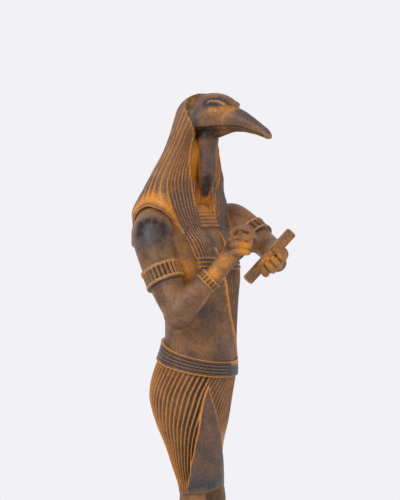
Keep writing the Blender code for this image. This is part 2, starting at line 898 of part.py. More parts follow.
body = [torso(), kilt(), belt(), *legs_and_feet(), base()]
for sign in (-1, 1):
    shoulder_back = (sign * shoulder_back_side, shoulder_back_front, shoulder_back_up)
    body.append(ball("shoulder_back", shoulder_back, shoulder_back_half, 14, 8))
body += [wig(), lappet(-1), lappet(1)]
limbs = [
    ball("right_shoulder", right_shoulder, right_shoulder_half, 14, 8),
    ball("left_shoulder", left_shoulder, left_shoulder_half, 14, 8),
    ball("right_elbow", right_elbow, right_elbow_half, 10, 6),
    ball("left_elbow", left_elbow, left_elbow_half, 10, 6),
    tube("right_upper_arm", right_upper_arm, 3, 2),
    tube("right_forearm", right_forearm, 3, 2),
    tube("left_upper_arm", left_upper_arm, 3, 2),
    tube("left_forearm", left_forearm, 3, 2),
    band("right_armlet", right_upper_arm, *right_armlet),
    band("left_armlet", left_upper_arm, *left_armlet),
    band("bracelet", right_forearm, *bracelet),
]
limbs += hands()
details = [*head(), palette(), shoulder_trim(), *chest_ribs()]

statue = joined(body + limbs + details)
statue.name = "statue"
statue.data.name = "statue"
statue.data.materials.clear()
statue.data.materials.append(statue_material())
statue.data.shade_smooth()
statue.data.set_sharp_from_angle(angle=math.radians(35))
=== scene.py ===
import math

import bpy
import numpy as np
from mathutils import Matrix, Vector
from mathutils.bvhtree import BVHTree
from mathutils.kdtree import KDTree


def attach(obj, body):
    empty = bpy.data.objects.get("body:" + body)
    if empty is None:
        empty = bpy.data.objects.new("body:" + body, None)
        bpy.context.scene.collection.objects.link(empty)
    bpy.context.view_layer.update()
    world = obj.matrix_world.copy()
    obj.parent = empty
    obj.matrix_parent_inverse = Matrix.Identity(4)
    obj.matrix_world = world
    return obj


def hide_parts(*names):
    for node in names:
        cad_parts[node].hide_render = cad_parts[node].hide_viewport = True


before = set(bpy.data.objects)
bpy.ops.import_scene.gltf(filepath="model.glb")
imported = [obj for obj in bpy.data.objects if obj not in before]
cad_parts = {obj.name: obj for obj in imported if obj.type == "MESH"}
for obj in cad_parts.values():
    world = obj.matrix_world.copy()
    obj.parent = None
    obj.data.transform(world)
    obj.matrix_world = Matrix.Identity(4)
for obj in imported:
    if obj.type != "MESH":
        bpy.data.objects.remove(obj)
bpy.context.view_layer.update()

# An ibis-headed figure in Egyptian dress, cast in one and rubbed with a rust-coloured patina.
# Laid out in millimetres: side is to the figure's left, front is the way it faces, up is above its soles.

figure = {
    "millimetre": 0.001,
    "baseHeight": 0.018,
    "soleMiddle": 0.0115,  # the body's axis stands this far behind the middle of the base
    "camera": -52.0,  # degrees round from the front, towards the figure's right
}
turnToCamera = math.radians(figure["camera"])
screenRight = np.array([math.cos(turnToCamera), -math.sin(turnToCamera), 0.0])
towardCamera = np.array([math.sin(turnToCamera), math.cos(turnToCamera), 0.0])
skyward = np.array([0.0, 0.0, 1.0])
# the dark mark holds real dark patches and also painted shade in grooves, gaps, creases and hollows
marked = {"points": [], "rust": [], "soot": [], "slate": []}  # what each part's carving gives the patina


def place(points):
    points = np.asarray(points, float)
    placed = points * figure["millimetre"]
    placed[..., 1] = figure["soleMiddle"] - points[..., 1] * figure["millimetre"]
    placed[..., 2] += figure["baseHeight"]
    return placed


def layoutOf(points):
    laid = points / figure["millimetre"]
    laid[..., 1] = (figure["soleMiddle"] - points[..., 1]) / figure["millimetre"]
    laid[..., 2] = (points[..., 2] - figure["baseHeight"]) / figure["millimetre"]
    return laid


def curved(table, where):
    # the table's columns at a place between its rows, on a smooth curve through them
    rows = np.array(sorted(table), float)
    knots, values = rows[:, 0], rows[:, 1:]
    slopes = np.gradient(values, knots, axis=0)
    where = np.clip(np.asarray(where, float), knots[0], knots[-1])
    low = np.clip(np.searchsorted(knots, where, side="right") - 1, 0, len(knots) - 2)
    gap = (knots[low + 1] - knots[low])[..., None]
    s = (where - knots[low])[..., None] / gap
    first = (1 + 2 * s) * (1 - s) ** 2 * values[low] + s * (1 - s) ** 2 * gap * slopes[low]
    second = s * s * (3 - 2 * s) * values[low + 1] + s * s * (s - 1) * gap * slopes[low + 1]
    return first + second


def between(table, where):
    rows = sorted(table)
    return np.interp(where, [row[0] for row in rows], [row[1] for row in rows])


def ease(low, high, value):
    s = np.clip((np.asarray(value, float) - low) / (high - low), 0, 1)
    return s * s * (3 - 2 * s)


def onSections(sections, up, degrees, grow=0.0, share=1.0):
    # a point on a body's section, with degrees from the front towards the figure's right side
    shape = curved(sections, up)
    turn = np.radians(degrees)
    side = -(shape[..., 0] * share + grow) * np.sin(turn)
    front = shape[..., 2] + (shape[..., 1] * share + grow) * np.cos(turn)
    return np.stack(np.broadcast_arrays(side, front, up), axis=-1)


def deselect():
    for item in bpy.context.selected_objects:
        item.select_set(False)


def points(form):
    found = np.empty(len(form.data.vertices) * 3)
    form.data.vertices.foreach_get("co", found)
    return found.reshape(-1, 3)


def movePoints(form, moved):
    form.data.vertices.foreach_set("co", moved.astype(np.float32).ravel())
    form.data.update()


def faceOutwards(form):
    deselect()
    form.select_set(True)
    bpy.context.view_layer.objects.active = form
    bpy.ops.object.mode_set(mode="EDIT")
    bpy.ops.mesh.select_all(action="SELECT")
    bpy.ops.mesh.normals_make_consistent(inside=False)
    bpy.ops.object.mode_set(mode="OBJECT")


def wrapped(name, rings, **marks):
    # a sphere's rings and segments are drawn onto the rings of a form, and its poles close the two ends
    rings = np.asarray(rings, float)
    rows, columns = rings.shape[:2]
    deselect()
    bpy.ops.mesh.primitive_uv_sphere_add(segments=columns, ring_count=rows + 1, radius=1.0)
    form = bpy.context.object
    form.name = name
    ball = points(form)
    row = np.rint(np.arccos(np.clip(ball[:, 2], -1, 1)) / math.pi * (rows + 1)).astype(int)
    column = np.rint(np.arctan2(ball[:, 1], ball[:, 0]) / math.tau * columns).astype(int) % columns
    inner = np.clip(row - 1, 0, rows - 1)
    laid = rings[inner, column]
    laid[row == 0] = rings[0].mean(axis=0)
    laid[row == rows + 1] = rings[-1].mean(axis=0)
    movePoints(form, place(laid))
    faceOutwards(form)
    for kind in marks:
        marks[kind] = np.broadcast_to(marks[kind], (rows, columns))[inner, column]
    note(form, **marks)
    return form


def note(form, **marks):
    found = points(form)
    marked["points"].append(found)
    for kind in ("rust", "soot", "slate"):
        marked[kind].append(np.clip(marks.get(kind, np.zeros(len(found))), 0, 1))


def limb(stations, columns=28, steps=7):
    # rings round a bent, tapering limb with round ends: side, front, up and radius at each station
    rows = [(index, *station) for index, station in enumerate(stations)]
    walk = curved(rows, np.linspace(0, len(stations) - 1, (len(stations) - 1) * steps + 1))
    middles, radii = walk[:, :3], walk[:, 3]
    lean = np.radians(np.arange(80, 0, -20))
    firstWay = middles[0] - middles[1]
    firstWay /= np.linalg.norm(firstWay)
    lastWay = middles[-1] - middles[-2]
    lastWay /= np.linalg.norm(lastWay)
    before = middles[0] + firstWay * (radii[0] * np.sin(lean))[:, None]
    after = middles[-1] + lastWay * (radii[-1] * np.sin(lean[::-1]))[:, None]
    middles = np.concatenate([before, middles, after])
    radii = np.concatenate([radii[0] * np.cos(lean), radii, radii[-1] * np.cos(lean[::-1])])
    runs = np.gradient(middles, axis=0)
    runs /= np.linalg.norm(runs, axis=1)[:, None]
    across = np.cross(runs[0], [0.31, 0.52, 0.79])  # any way that no limb runs along
    turn = np.linspace(0, math.tau, columns, endpoint=False)
    rings = []
    for middle, radius, run in zip(middles, radii, runs):
        across = across - run * np.dot(across, run)
        across /= np.linalg.norm(across)
        over = np.cross(run, across)
        rings.append(middle + radius * (np.outer(np.cos(turn), across) + np.outer(np.sin(turn), over)))
    return np.array(rings)


def ballRings(middle, half, columns=32, rows=17):
    lean = np.pi * (np.arange(rows) + 0.5) / rows
    turn = np.linspace(0, math.tau, columns, endpoint=False)
    ring = np.stack([np.cos(turn), np.sin(turn)], axis=-1)
    rings = np.empty((rows, columns, 3))
    rings[..., :2] = np.sin(lean)[:, None, None] * ring
    rings[..., 2] = np.cos(lean)[:, None]
    return rings * half + np.asarray(middle, float)


def useModifier(form, kind, **settings):
    deselect()
    form.select_set(True)
    bpy.context.view_layer.objects.active = form
    modifier = form.modifiers.new(kind.lower(), kind)
    for key, value in settings.items():
        setattr(modifier, key, value)
    bpy.ops.object.modifier_apply(modifier=modifier.name)


def castTogether(name, forms, grain, rounds):
    # overlapping forms become one skin, and the creases where they meet are softened
    deselect()
    for form in forms:
        form.select_set(True)
    bpy.context.view_layer.objects.active = forms[0]
    bpy.ops.object.join()
    whole = bpy.context.object
    whole.name = name
    useModifier(whole, "REMESH", mode="VOXEL", voxel_size=grain)
    useModifier(whole, "SMOOTH", factor=0.5, iterations=rounds)
    return whole


def fuse(whole, part):
    before = len(whole.data.polygons)
    useModifier(whole, "BOOLEAN", operation="UNION", solver="MANIFOLD", object=part)
    if len(whole.data.polygons) == before:
        print("not fused:", part.name)
    bpy.data.objects.remove(part)


# Camera: the photograph's side, long lens, body to the knee
view = {
    "aim": (0.0, 0.0115, 0.2224),
    "shown": 0.26,  # metres of height in the picture
    "distance": 2.4,
    "rise": 1.2,
    "sensor": 36.0,
    "clip": (0.05, 30.0),
}
aim = Vector(view["aim"])
rise = math.radians(view["rise"])
reach = math.cos(rise)
back = Vector((math.sin(turnToCamera) * reach, -math.cos(turnToCamera) * reach, math.sin(rise)))
deselect()
bpy.ops.object.camera_add(location=aim + back * view["distance"])
camera = bpy.context.object
camera.rotation_mode = "QUATERNION"
camera.rotation_quaternion = (-back).to_track_quat("-Z", "Y")
camera.data.sensor_width = view["sensor"]
camera.data.lens = view["sensor"] * view["distance"] / view["shown"]
camera.data.clip_start, camera.data.clip_end = view["clip"]
bpy.context.scene.camera = camera
print("camera placed")

# Body under the dress: up, half width, half depth, front of the middle
body = {
    "torso": (
        (134.0, 19.0, 15.5, -3.5),
        (144.6, 21.8, 17.4, -1.0),
        (157.6, 20.8, 16.6, 0.0),
        (178.4, 22.9, 16.6, 0.0),
        (192.9, 26.0, 17.2, -1.0),
        (200.7, 27.6, 17.1, -3.0),
        (209.6, 29.6, 16.4, -6.0),
        (215.8, 30.7, 15.7, -8.2),
        (222.6, 29.0, 14.6, -10.4),
        (228.5, 23.5, 12.6, -12.0),
    ),
    "rightUpperArm": (
        (-29.4, -7.6, 216.4, 9.2),
        (-31.2, -6.7, 210.6, 10.2),
        (-31.6, -1.0, 195.0, 9.3),
        (-32.0, 6.0, 182.0, 8.4),
        (-31.8, 10.6, 174.0, 7.6),
    ),
    "rightForearm": (
        (-32.2, 10.8, 173.2, 7.7),
        (-28.6, 15.6, 179.4, 7.5),
        (-24.4, 20.6, 186.4, 6.2),
        (-20.8, 25.0, 191.6, 5.0),
        (-17.6, 31.0, 200.0, 4.9),
        (-15.4, 36.0, 206.0, 5.6),
    ),
    "leftUpperArm": (
        (28.8, -6.0, 219.5, 8.0),
        (31.5, -2.6, 219.6, 8.8),
        (31.9, 7.0, 214.8, 8.0),
        (31.6, 14.5, 209.5, 7.2),
        (31.2, 20.0, 206.2, 6.4),
    ),
    "leftForearm": (
        (31.2, 20.4, 206.0, 6.5),
        (25.0, 28.4, 202.4, 5.8),
        (17.6, 36.4, 199.4, 4.7),
        (10.4, 42.4, 198.2, 5.0),
    ),
    "balls": (
        ((-30.2, -6.7, 215.0), (10.2, 10.2, 10.0)),
        ((30.4, -4.6, 218.2), (9.4, 9.4, 9.4)),
        ((-28.5, -13.5, 212.5), (8.2, 6.8, 10.6)),
        ((28.5, -13.5, 212.5), (8.2, 6.8, 10.6)),
        ((-28.6, -9.6, 217.6), (8.6, 8.4, 8.8)),
        ((-32.0, 10.8, 172.4), (7.4, 7.8, 8.4)),
        ((31.0, 20.2, 206.0), (6.6, 6.8, 6.6)),
    ),
    "rightLeg": (
        (-6.4, 0.2, 84.0, 7.2),
        (-6.8, 0.4, 73.0, 7.0),
        (-7.2, -4.0, 55.0, 7.3),
        (-7.5, -5.4, 36.0, 5.6),
        (-7.8, -7.6, 14.0, 4.1),
        (-7.8, -8.0, 3.0, 4.4),
    ),
    "leftLeg": (
        (6.4, 1.4, 84.0, 7.2),
        (6.8, 3.0, 73.0, 7.0),
        (7.2, 1.4, 55.0, 7.3),
        (7.5, 3.2, 36.0, 5.6),
        (7.8, 5.8, 14.0, 4.1),
        (7.8, 6.2, 3.0, 4.4),
    ),
    "torsoGrid": (40, 72),
    "torsoFrom": 138.0,  # hidden by the kilt below this height
    "grain": 0.0008,
    "rounds": 4,
}

foot = {
    "side": 7.8,
    "heels": (-15.0, -1.0),  # front of the right and of the left heel
    "length": 41.0,
    "halfWidth": 6.6,
    "profile": (  # share of the length, share of the half width, height
        (0.0, 0.55, 5.0),
        (0.06, 0.8, 9.0),
        (0.30, 0.82, 11.0),
        (0.50, 0.86, 8.4),
        (0.72, 1.0, 5.6),
        (0.88, 0.94, 4.2),
    ),
    "toes": (  # across from the foot's middle, share of the length, radius, height
        (-4.6, 0.93, 1.9, 2.0),
        (-1.5, 0.95, 1.5, 1.8),
        (0.9, 0.94, 1.4, 1.7),
        (3.1, 0.915, 1.3, 1.6),
        (5.1, 0.88, 1.2, 1.5),
    ),
    "toeHalfLength": 2.9,
    "toeLift": 0.75,
    "toeSlim": 0.85,
    "grid": (20, 32),
    "squareness": 0.6,
    "flatSole": 0.3,
    "sunk": 0.5,
}


def footRings(side, heel):
    share = np.linspace(0.0, foot["profile"][-1][0], foot["grid"][0])
    shape = curved(foot["profile"], share)
    turn = np.linspace(0, math.tau, foot["grid"][1], endpoint=False)
    rings = np.empty((len(share), len(turn), 3))
    breadth = np.sign(np.sin(turn)) * np.abs(np.sin(turn)) ** foot["squareness"]
    dome = (np.cos(turn) + foot["flatSole"]) / (1 + foot["flatSole"])
    rings[..., 0] = side + foot["halfWidth"] * shape[:, :1] * breadth
    rings[..., 1] = (heel + foot["length"] * share)[:, None]
    rings[..., 2] = np.maximum(-foot["sunk"], shape[:, 1:2] * dome)
    return rings


def bodyForm():
    up = np.linspace(body["torsoFrom"], body["torso"][-1][0], body["torsoGrid"][0])
    degrees = np.linspace(180.0, -180.0, body["torsoGrid"][1], endpoint=False)
    forms = [wrapped("torso", onSections(body["torso"], up[:, None], degrees[None, :]))]
    for key in ("rightUpperArm", "rightForearm", "leftUpperArm", "leftForearm", "rightLeg", "leftLeg"):
        forms.append(wrapped(key, limb(body[key])))
    for middle, half in body["balls"]:
        forms.append(wrapped("joint", ballRings(middle, half)))
    for sign, heel in zip((-1, 1), foot["heels"]):
        forms.append(wrapped("foot", footRings(sign * foot["side"], heel)))
        for across, share, radius, height in foot["toes"]:
            middle = (sign * (foot["side"] + across), heel + foot["length"] * share, height * foot["toeLift"])
            half = (radius * foot["toeSlim"], foot["toeHalfLength"], height)
            forms.append(wrapped("toe", ballRings(middle, half, 16, 9)))
    return castTogether("body", forms, body["grain"], body["rounds"])


# Head of an ibis: a round skull, a low forehead and a long bill that curves down
head = {
    "skull": ((0.0, 9.1, 276.4), (9.4, 15.6, 9.6)),
    "forehead": ((0.0, 16.6, 279.0), (6.2, 6.4, 5.1)),
    "cheeks": ((0.0, 3.8, 272.6), (12.4, 10.4, 8.6)),
    "bill": (  # front, up, half height, half width
        (12.0, 273.0, 8.4, 8.2),
        (20.0, 272.6, 7.2, 6.8),
        (24.6, 272.0, 6.3, 5.5),
        (28.8, 271.1, 5.5, 4.6),
        (33.2, 269.5, 4.6, 3.8),
        (37.2, 267.9, 3.8, 3.2),
        (41.4, 265.9, 3.0, 2.6),
        (44.6, 264.3, 2.4, 2.1),
        (46.3, 263.3, 1.3, 1.2),
    ),
    "throat": (
        (0.0, 4.6, 272.0, 7.6),
        (0.0, 4.7, 264.0, 6.4),
        (0.0, 4.6, 256.0, 5.0),
        (0.0, 4.6, 246.0, 4.8),
        (0.0, 4.1, 238.0, 3.9),
        (0.0, 3.1, 232.6, 2.6),
        (0.0, 2.0, 230.0, 1.2),
    ),
    "jaw": (
        (0.0, 5.5, 267.4, 5.6),
        (0.0, 11.2, 267.6, 5.0),
        (0.0, 15.8, 268.1, 4.2),
        (0.0, 19.8, 268.5, 3.5),
        (0.0, 25.5, 268.9, 2.6),
    ),
    "grain": 0.00042,
    "rounds": 3,
    "billGrid": (40, 36),
    # lines seen from the side: front, up
    "mouth": (
        (4.5, 267.6), (11.0, 268.1), (18.5, 268.5), (24.6, 268.6),
        (29.6, 268.0), (36.0, 266.1), (42.6, 263.6),
    ),
    "billJoint": ((25.6, 278.4), (21.8, 276.4), (20.2, 273.4), (19.6, 270.2)),
    "brow": ((10.8, 280.3), (13.4, 281.2), (16.6, 281.2), (19.2, 280.2), (21.4, 278.5)),
    "eye": (15.0, 277.0),
}


def nearLine(flat, line):
    # distance from each point to a bent line, and how far along the line that is
    line = np.asarray(line, float)
    best = np.full(len(flat), 1e9)
    along = np.zeros(len(flat))
    lengths = np.linalg.norm(np.diff(line, axis=0), axis=1)
    for index, (start, stop) in enumerate(zip(line[:-1], line[1:])):
        way = stop - start
        share = np.clip(((flat - start) @ way) / (way @ way), 0, 1)
        gap = np.linalg.norm(flat - (start + share[:, None] * way), axis=1)
        closer = gap < best
        best[closer] = gap[closer]
        along[closer] = (lengths[:index].sum() + share[closer] * lengths[index]) / lengths.sum()
    return best, along


def hump(gap, width):
    return np.exp(-((gap / width) ** 2))


def normalsOf(form):
    found = np.empty(len(form.data.vertices) * 3)
    form.data.vertices.foreach_get("normal", found)
    return found.reshape(-1, 3)


def headForm():
    forms = [wrapped("skull", ballRings(*head["skull"], 48, 33))]
    forms += [wrapped(key, ballRings(*head[key])) for key in ("forehead", "cheeks")]
    front = np.linspace(head["bill"][0][0], head["bill"][-1][0], head["billGrid"][0])
    shape = curved(head["bill"], front)
    turn = np.linspace(0, math.tau, head["billGrid"][1], endpoint=False)
    rings = np.empty((len(front), len(turn), 3))
    rings[..., 0] = shape[:, 2:3] * np.sin(turn)
    rings[..., 1] = front[:, None]
    rings[..., 2] = shape[:, :1] + shape[:, 1:2] * np.cos(turn)
    forms.append(wrapped("bill", rings))
    forms += [wrapped(key, limb(head[key], 32, 8)) for key in ("throat", "jaw")]
    whole = castTogether("head", forms, head["grain"], head["rounds"])
    carveHead(whole)
    return whole


headCarving = {
    # depth or rise in millimetres comes last, after where it lies and how wide it is
    "turned": (0.12, 0.45),  # a face is carved where it turns this far to the side
    "mouth": (0.36, -0.45),
    "joint": (0.32, -0.16),
    "brow": (0.8, 1.5),
    "socket": ((15.0, 279.8), 2.2, -0.6),
    "underJaw": -0.5,
    "almond": (1.55, 0.95),
    "lids": ((2.0, 0.36, -0.3), (1.3, 0.36, 0.3)),
    "iris": ((0.9, 0.24, -0.4), (0.0, 0.42, 0.25)),
}
headPatinaAndShade = {
    # where it lies, how wide it is, and how strong
    "eyeRust": (0.9, 1.15, 0.55),
    "jointRust": (0.45, 0.34),
    "billRootRust": ((21.4, 277.6), 3.2, 0.45),
    # the next three marks are painted shade: under the cheek, in the mouth's crease and round the brow
    "underCheekShade": (1.15, 0.15),
    "mouthCreaseShade": (0.6, 0.7),
    "browShade": (1.5, 0.9, 0.75),
    "browSlate": (1.5, 1.0, 0.8),
    "billSlate": 0.6,
    "temple": ((6.0, 273.0), (2.6, 8.5), 0.85),
    "throatSlate": 0.5,
    "faceSlate": 0.12,
}


def awayFrom(flat, middle, squash=(1.0, 1.0)):
    return np.linalg.norm((flat - middle) / squash, axis=1)


def carveHead(whole):
    laid = layoutOf(points(whole))
    normals = normalsOf(whole)
    flat = laid[:, 1:]
    front, up = flat.T
    carving, patinaAndPaintedLight = headCarving, headPatinaAndShade
    sideways = ease(*carving["turned"], np.abs(normals[:, 0]))
    mouth, alongMouth = nearLine(flat, head["mouth"])
    joint, _ = nearLine(flat, head["billJoint"])
    brow, alongBrow = nearLine(flat, head["brow"])
    eyeGap = awayFrom(flat, head["eye"])
    almond = awayFrom(flat, head["eye"], carving["almond"])
    below = between(head["mouth"], front) - up
    jaw = ease(-1.6, 2.6, below) * ease(8.5, 2.0, below) * ease(30.0, 14.0, front) * ease(-3.0, 5.0, front)

    width, depth = carving["mouth"]
    push = depth * hump(mouth, width) * (1 - 0.6 * ease(0.75, 1.0, alongMouth))
    push += carving["underJaw"] * jaw * ease(5.0, 3.0, below)
    width, depth = carving["joint"]
    push += depth * hump(joint, width)
    width, height = carving["brow"]
    push += height * hump(brow, width) * ease(0.0, 0.15, alongBrow) * (1 - ease(0.85, 1.0, alongBrow))
    middle, width, depth = carving["socket"]
    push += depth * hump(awayFrom(flat, middle), width)
    for gap, width, height in carving["lids"]:
        push += height * hump(almond - gap, width)
    for gap, width, height in carving["iris"]:
        push += height * hump(eyeGap - gap, width)
    movePoints(whole, place(laid) + normals * (push * sideways * figure["millimetre"])[:, None])

    gap, width, strength = patinaAndPaintedLight["eyeRust"]
    rust = strength * hump(np.maximum(almond - gap, 0), width)
    width, strength = patinaAndPaintedLight["jointRust"]
    rust += strength * hump(joint, width)
    middle, width, strength = patinaAndPaintedLight["billRootRust"]
    rust += strength * hump(awayFrom(flat, middle), width)
    # painted shadow under the cheek, strongest towards the back of the jaw
    behind, allAlong = patinaAndPaintedLight["underCheekShade"]
    soot = jaw * (behind * ease(20.0, 8.0, front) + allAlong)
    # painted shade along the mouth's carved crease
    width, strength = patinaAndPaintedLight["mouthCreaseShade"]
    soot += strength * hump(mouth, width)
    # painted shade round the raised brow ridge, on the sides of the head
    gap, width, strength = patinaAndPaintedLight["browShade"]
    soot += strength * hump(brow - gap, width) * sideways * ease(278.4, 279.6, up)
    gap, width, strength = patinaAndPaintedLight["browSlate"]
    slate = strength * hump(brow - gap, width) * ease(0.95, 0.5, alongBrow)
    slate += patinaAndPaintedLight["billSlate"] * ease(24.0, 29.0, front) * ease(0.0, 0.5, normals[:, 2])
    middle, squash, strength = patinaAndPaintedLight["temple"]
    slate += strength * hump(awayFrom(flat, middle, squash), 1.0)
    slate += patinaAndPaintedLight["throatSlate"] * ease(264.0, 258.0, up) + patinaAndPaintedLight["faceSlate"] * ease(262.0, 266.0, up)
    note(whole, rust=rust * sideways, soot=soot, slate=slate)


# Wig: up, half width, half depth, front of the middle, with carved lines that fan back from its front edge
wig = {
    "sections": (
        (206.9, 30.2, 17.2, -10.4),
        (215.8, 30.2, 17.2, -10.4),
        (224.0, 30.2, 17.2, -13.0),
        (233.0, 26.0, 15.6, -13.5),
        (245.0, 23.4, 13.5, -8.8),
        (256.4, 17.2, 13.0, -5.2),
        (264.2, 15.6, 13.8, -1.8),
        (273.0, 13.4, 14.8, 1.3),
        (278.6, 11.2, 11.0, -0.2),
        (282.0, 8.8, 7.4, -0.6),
        (284.4, 6.0, 5.0, 0.6),
        (285.7, 3.4, 3.0, 2.4),
    ),
    "frontEdge": (
        (206.9, 10.0), (228.0, 14.0), (233.0, 16.0), (245.0, 28.0),
        (256.4, 44.0), (264.2, 54.0), (273.0, 80.0), (285.7, 106.0),
    ),
    "bedDepth": ((206.9, 0.30), (255.0, 0.30), (266.0, 0.45), (273.0, 0.36), (285.7, 0.32)),
    "backFlareTurn": (84.0, 124.0),  # it grows between these degrees
    "backFlareWane": (140.0, 0.7),  # and wanes from here to the middle of the back
    "cheekFlareTurn": (45.0, 30.0),
    "backFlare": ((206.9, 4.3), (217.0, 3.2), (222.5, 2.5), (228.0, 1.5), (236.0, 0.0)),
    "cheekFlare": (
        (216.0, 0.0), (222.0, 1.6), (230.0, 3.4), (236.0, 3.2), (241.0, 2.2), (246.0, 0.4), (251.0, 0.1),
        (256.4, -0.9), (260.0, -2.4), (264.0, -3.4), (270.0, -2.4), (276.0, 0.0),
    ),
    "linesGone": (  # lines that have run out over the front edge, at a height
        (206.9, 0.0), (234.0, 0.0), (245.0, 1.0), (256.0, 3.0), (264.0, 4.4), (268.0, 6.2),
        (271.5, 8.0), (277.0, 10.0), (282.0, 12.0), (285.7, 13.5),
    ),
    "frontLines": 8.0,  # finer lines, that run down into the lappet
    "lappetEdge": (  # the last of them, in degrees from the front
        (206.9, 31.0), (210.5, 33.5), (215.0, 38.0), (220.0, 41.0), (224.0, 44.0), (228.0, 48.0),
        (241.0, 62.0), (256.4, 71.6), (264.2, 74.6), (271.5, 76.0),
    ),
    "stripLines": 1.3,
    "hem": (
        (0.0, 222.0), (24.0, 216.0), (34.0, 212.6), (38.0, 214.0), (44.0, 218.2), (48.5, 221.2),
        (56.5, 224.8), (69.5, 227.0), (86.0, 227.8), (100.5, 225.5), (112.5, 221.0), (125.0, 213.0),
        (137.0, 208.2), (180.0, 207.0),
    ),
    "top": 285.7,
    "lines": 18,
    "columnsPerLine": 8,
    "stripColumns": 8,
    "rows": 76,
    "rowCrowding": 1.15,
    "lineDepth": 0.62,
    "valley": 0.15,
    "linesStart": (0.5, 4.5),  # degrees behind the front edge
    "linesStop": (282.5, 285.4),
    "plainBand": (2.0, 7.0),  # no lines this close above the hem
    "rustBand": (2.0, 11.0, 0.8),
    "lip": (2.6, 2.2, 0.3),  # degrees behind the front edge, width, rise
    "lipUp": (207.0, 215.0, 262.0, 272.0),
    "lipRust": 0.45,
    "bedRust": (272.0, 254.0, 1.4),
    "lineSlate": 0.5,
    "stand": 0.7,  # clear of the shoulder that it lies on
    "lying": (236.0, 30.0),  # it lies on the shoulder below this height and behind these degrees
    "covered": (2.0, -1.0, 229.0, 222.0, 1.8),  # degrees, heights and depth of what the lappet covers
    "axisFront": -12.0,
    "reach": 14.0,
}


def outward(laid):
    # level unit ways from the figure's upright axis
    ways = laid - (0.0, wig["axisFront"], 0.0)
    ways[..., 2] = 0.0
    return ways / np.maximum(np.linalg.norm(ways, axis=-1, keepdims=True), 0.001)


def draped(laid, over, stand, reach):
    # points that lie inside another form are moved out to just over its skin
    tree = BVHTree.FromObject(over, bpy.context.evaluated_depsgraph_get())
    flat = laid.reshape(-1, 3)
    ways = outward(flat)
    starts = place(flat + ways * reach)
    inward = ways * (-1.0, 1.0, 1.0)
    push = np.zeros(len(flat))
    for index in range(len(flat)):
        hit = tree.ray_cast(Vector(starts[index]), Vector(inward[index]), reach * figure["millimetre"])
        distance = hit[3]
        if distance is not None:
            push[index] = reach - distance / figure["millimetre"]
    push = np.where(push > 0, push + stand, 0.0)
    return (flat + ways * push[:, None]).reshape(laid.shape)


def flareOf(up, degrees):
    waneFrom, wane = wig["backFlareWane"]
    middle, width = wig["cheekFlareTurn"]
    back = between(wig["backFlare"], up) * ease(*wig["backFlareTurn"], degrees)
    back = back * (1 - wane * ease(waneFrom, 180.0, degrees))
    return back + between(wig["cheekFlare"], up) * hump(degrees - middle, width)


def hemOf(degrees):
    return curved(wig["hem"], degrees)[..., 0]


def wigDegrees(line, up):
    # where a carved line lies on the wig at a height; lines below nought are the bare strip in front
    edge = between(wig["frontEdge"], up)
    gone = between(wig["linesGone"], up)
    middle = np.maximum(between(wig["lappetEdge"], up), edge + 0.5)
    knee = np.maximum(wig["frontLines"], gone + 0.1)
    last = wig["lines"]
    front = edge + (middle - edge) * (line - gone) / (knee - gone)
    behind = middle + (180.0 - middle) * (line - knee) / (last - knee)
    strip = edge * (line + wig["stripLines"]) / (gone + wig["stripLines"])
    return np.where(line < gone, strip, np.where(line < knee, front, behind))


def wigForm(under):
    columns = wig["lines"] * wig["columnsPerLine"]
    strip = np.linspace(-wig["stripLines"], 0.0, wig["stripColumns"], endpoint=False)
    line = np.concatenate([strip, np.linspace(0.0, wig["lines"], columns + 1)])[None, :]
    travel = (1 - np.linspace(1.0, 0.0, wig["rows"]) ** wig["rowCrowding"])[:, None]
    up = np.full((wig["rows"], line.shape[1]), wig["top"])
    for _ in range(6):
        degrees = wigDegrees(line, up)
        hem = hemOf(degrees)
        up = wig["top"] + (hem - wig["top"]) * travel
    edge = between(wig["frontEdge"], up)
    inside = ease(-2.0, 2.0, edge - degrees)
    phase = np.maximum(line, 0.0) % 1.0
    valley = hump(np.minimum(phase, 1 - phase), wig["valley"])
    carved = ease(*wig["linesStart"], degrees - edge) * ease(*wig["plainBand"], up - hem)
    carved *= 1 - ease(*wig["linesStop"], up)
    lipBehind, lipWidth, lipRise = wig["lip"]
    lipLow, lipGrown, lipWanes, lipGone = wig["lipUp"]
    lip = hump(edge - degrees + lipBehind, lipWidth)
    lip = lip * ease(lipLow, lipGrown, up) * ease(lipGone, lipWanes, up)
    grow = flareOf(up, degrees) - wig["lineDepth"] * valley * carved + lipRise * lip
    bed = between(wig["bedDepth"], up) * inside
    right = onSections(wig["sections"], up, degrees, grow, 1.0 - bed)
    bandLow, bandHigh, bandStrength = wig["rustBand"]
    bedTop, bedLow, bedStrength = wig["bedRust"]
    rust = valley * carved + bedStrength * inside * ease(bedTop, bedLow, up)
    rust = rust + bandStrength * (1 - ease(bandLow, bandHigh, up - hem)) + wig["lipRust"] * lip
    slate = (1 - valley) * carved * wig["lineSlate"]
    lyingUp, lyingFrom = wig["lying"]
    low = (up < lyingUp) & (degrees > lyingFrom)
    over = draped(right, under, wig["stand"], wig["reach"])
    right = np.where(low[..., None], over, right)
    clear, hidden, clearUp, hiddenUp, depth = wig["covered"]
    covered = ease(clear, hidden, degrees - between(wig["lappetEdge"], up)) * ease(clearUp, hiddenUp, up)
    right = right - outward(right) * (depth * covered)[..., None]
    left = right[:, 1:-1][:, ::-1] * (-1.0, 1.0, 1.0)
    rings = np.concatenate([right, left], axis=1)
    rust, slate = (np.concatenate([values, values[:, 1:-1][:, ::-1]], axis=1) for values in (rust, slate))
    return wrapped("wig", rings, rust=rust, slate=slate)


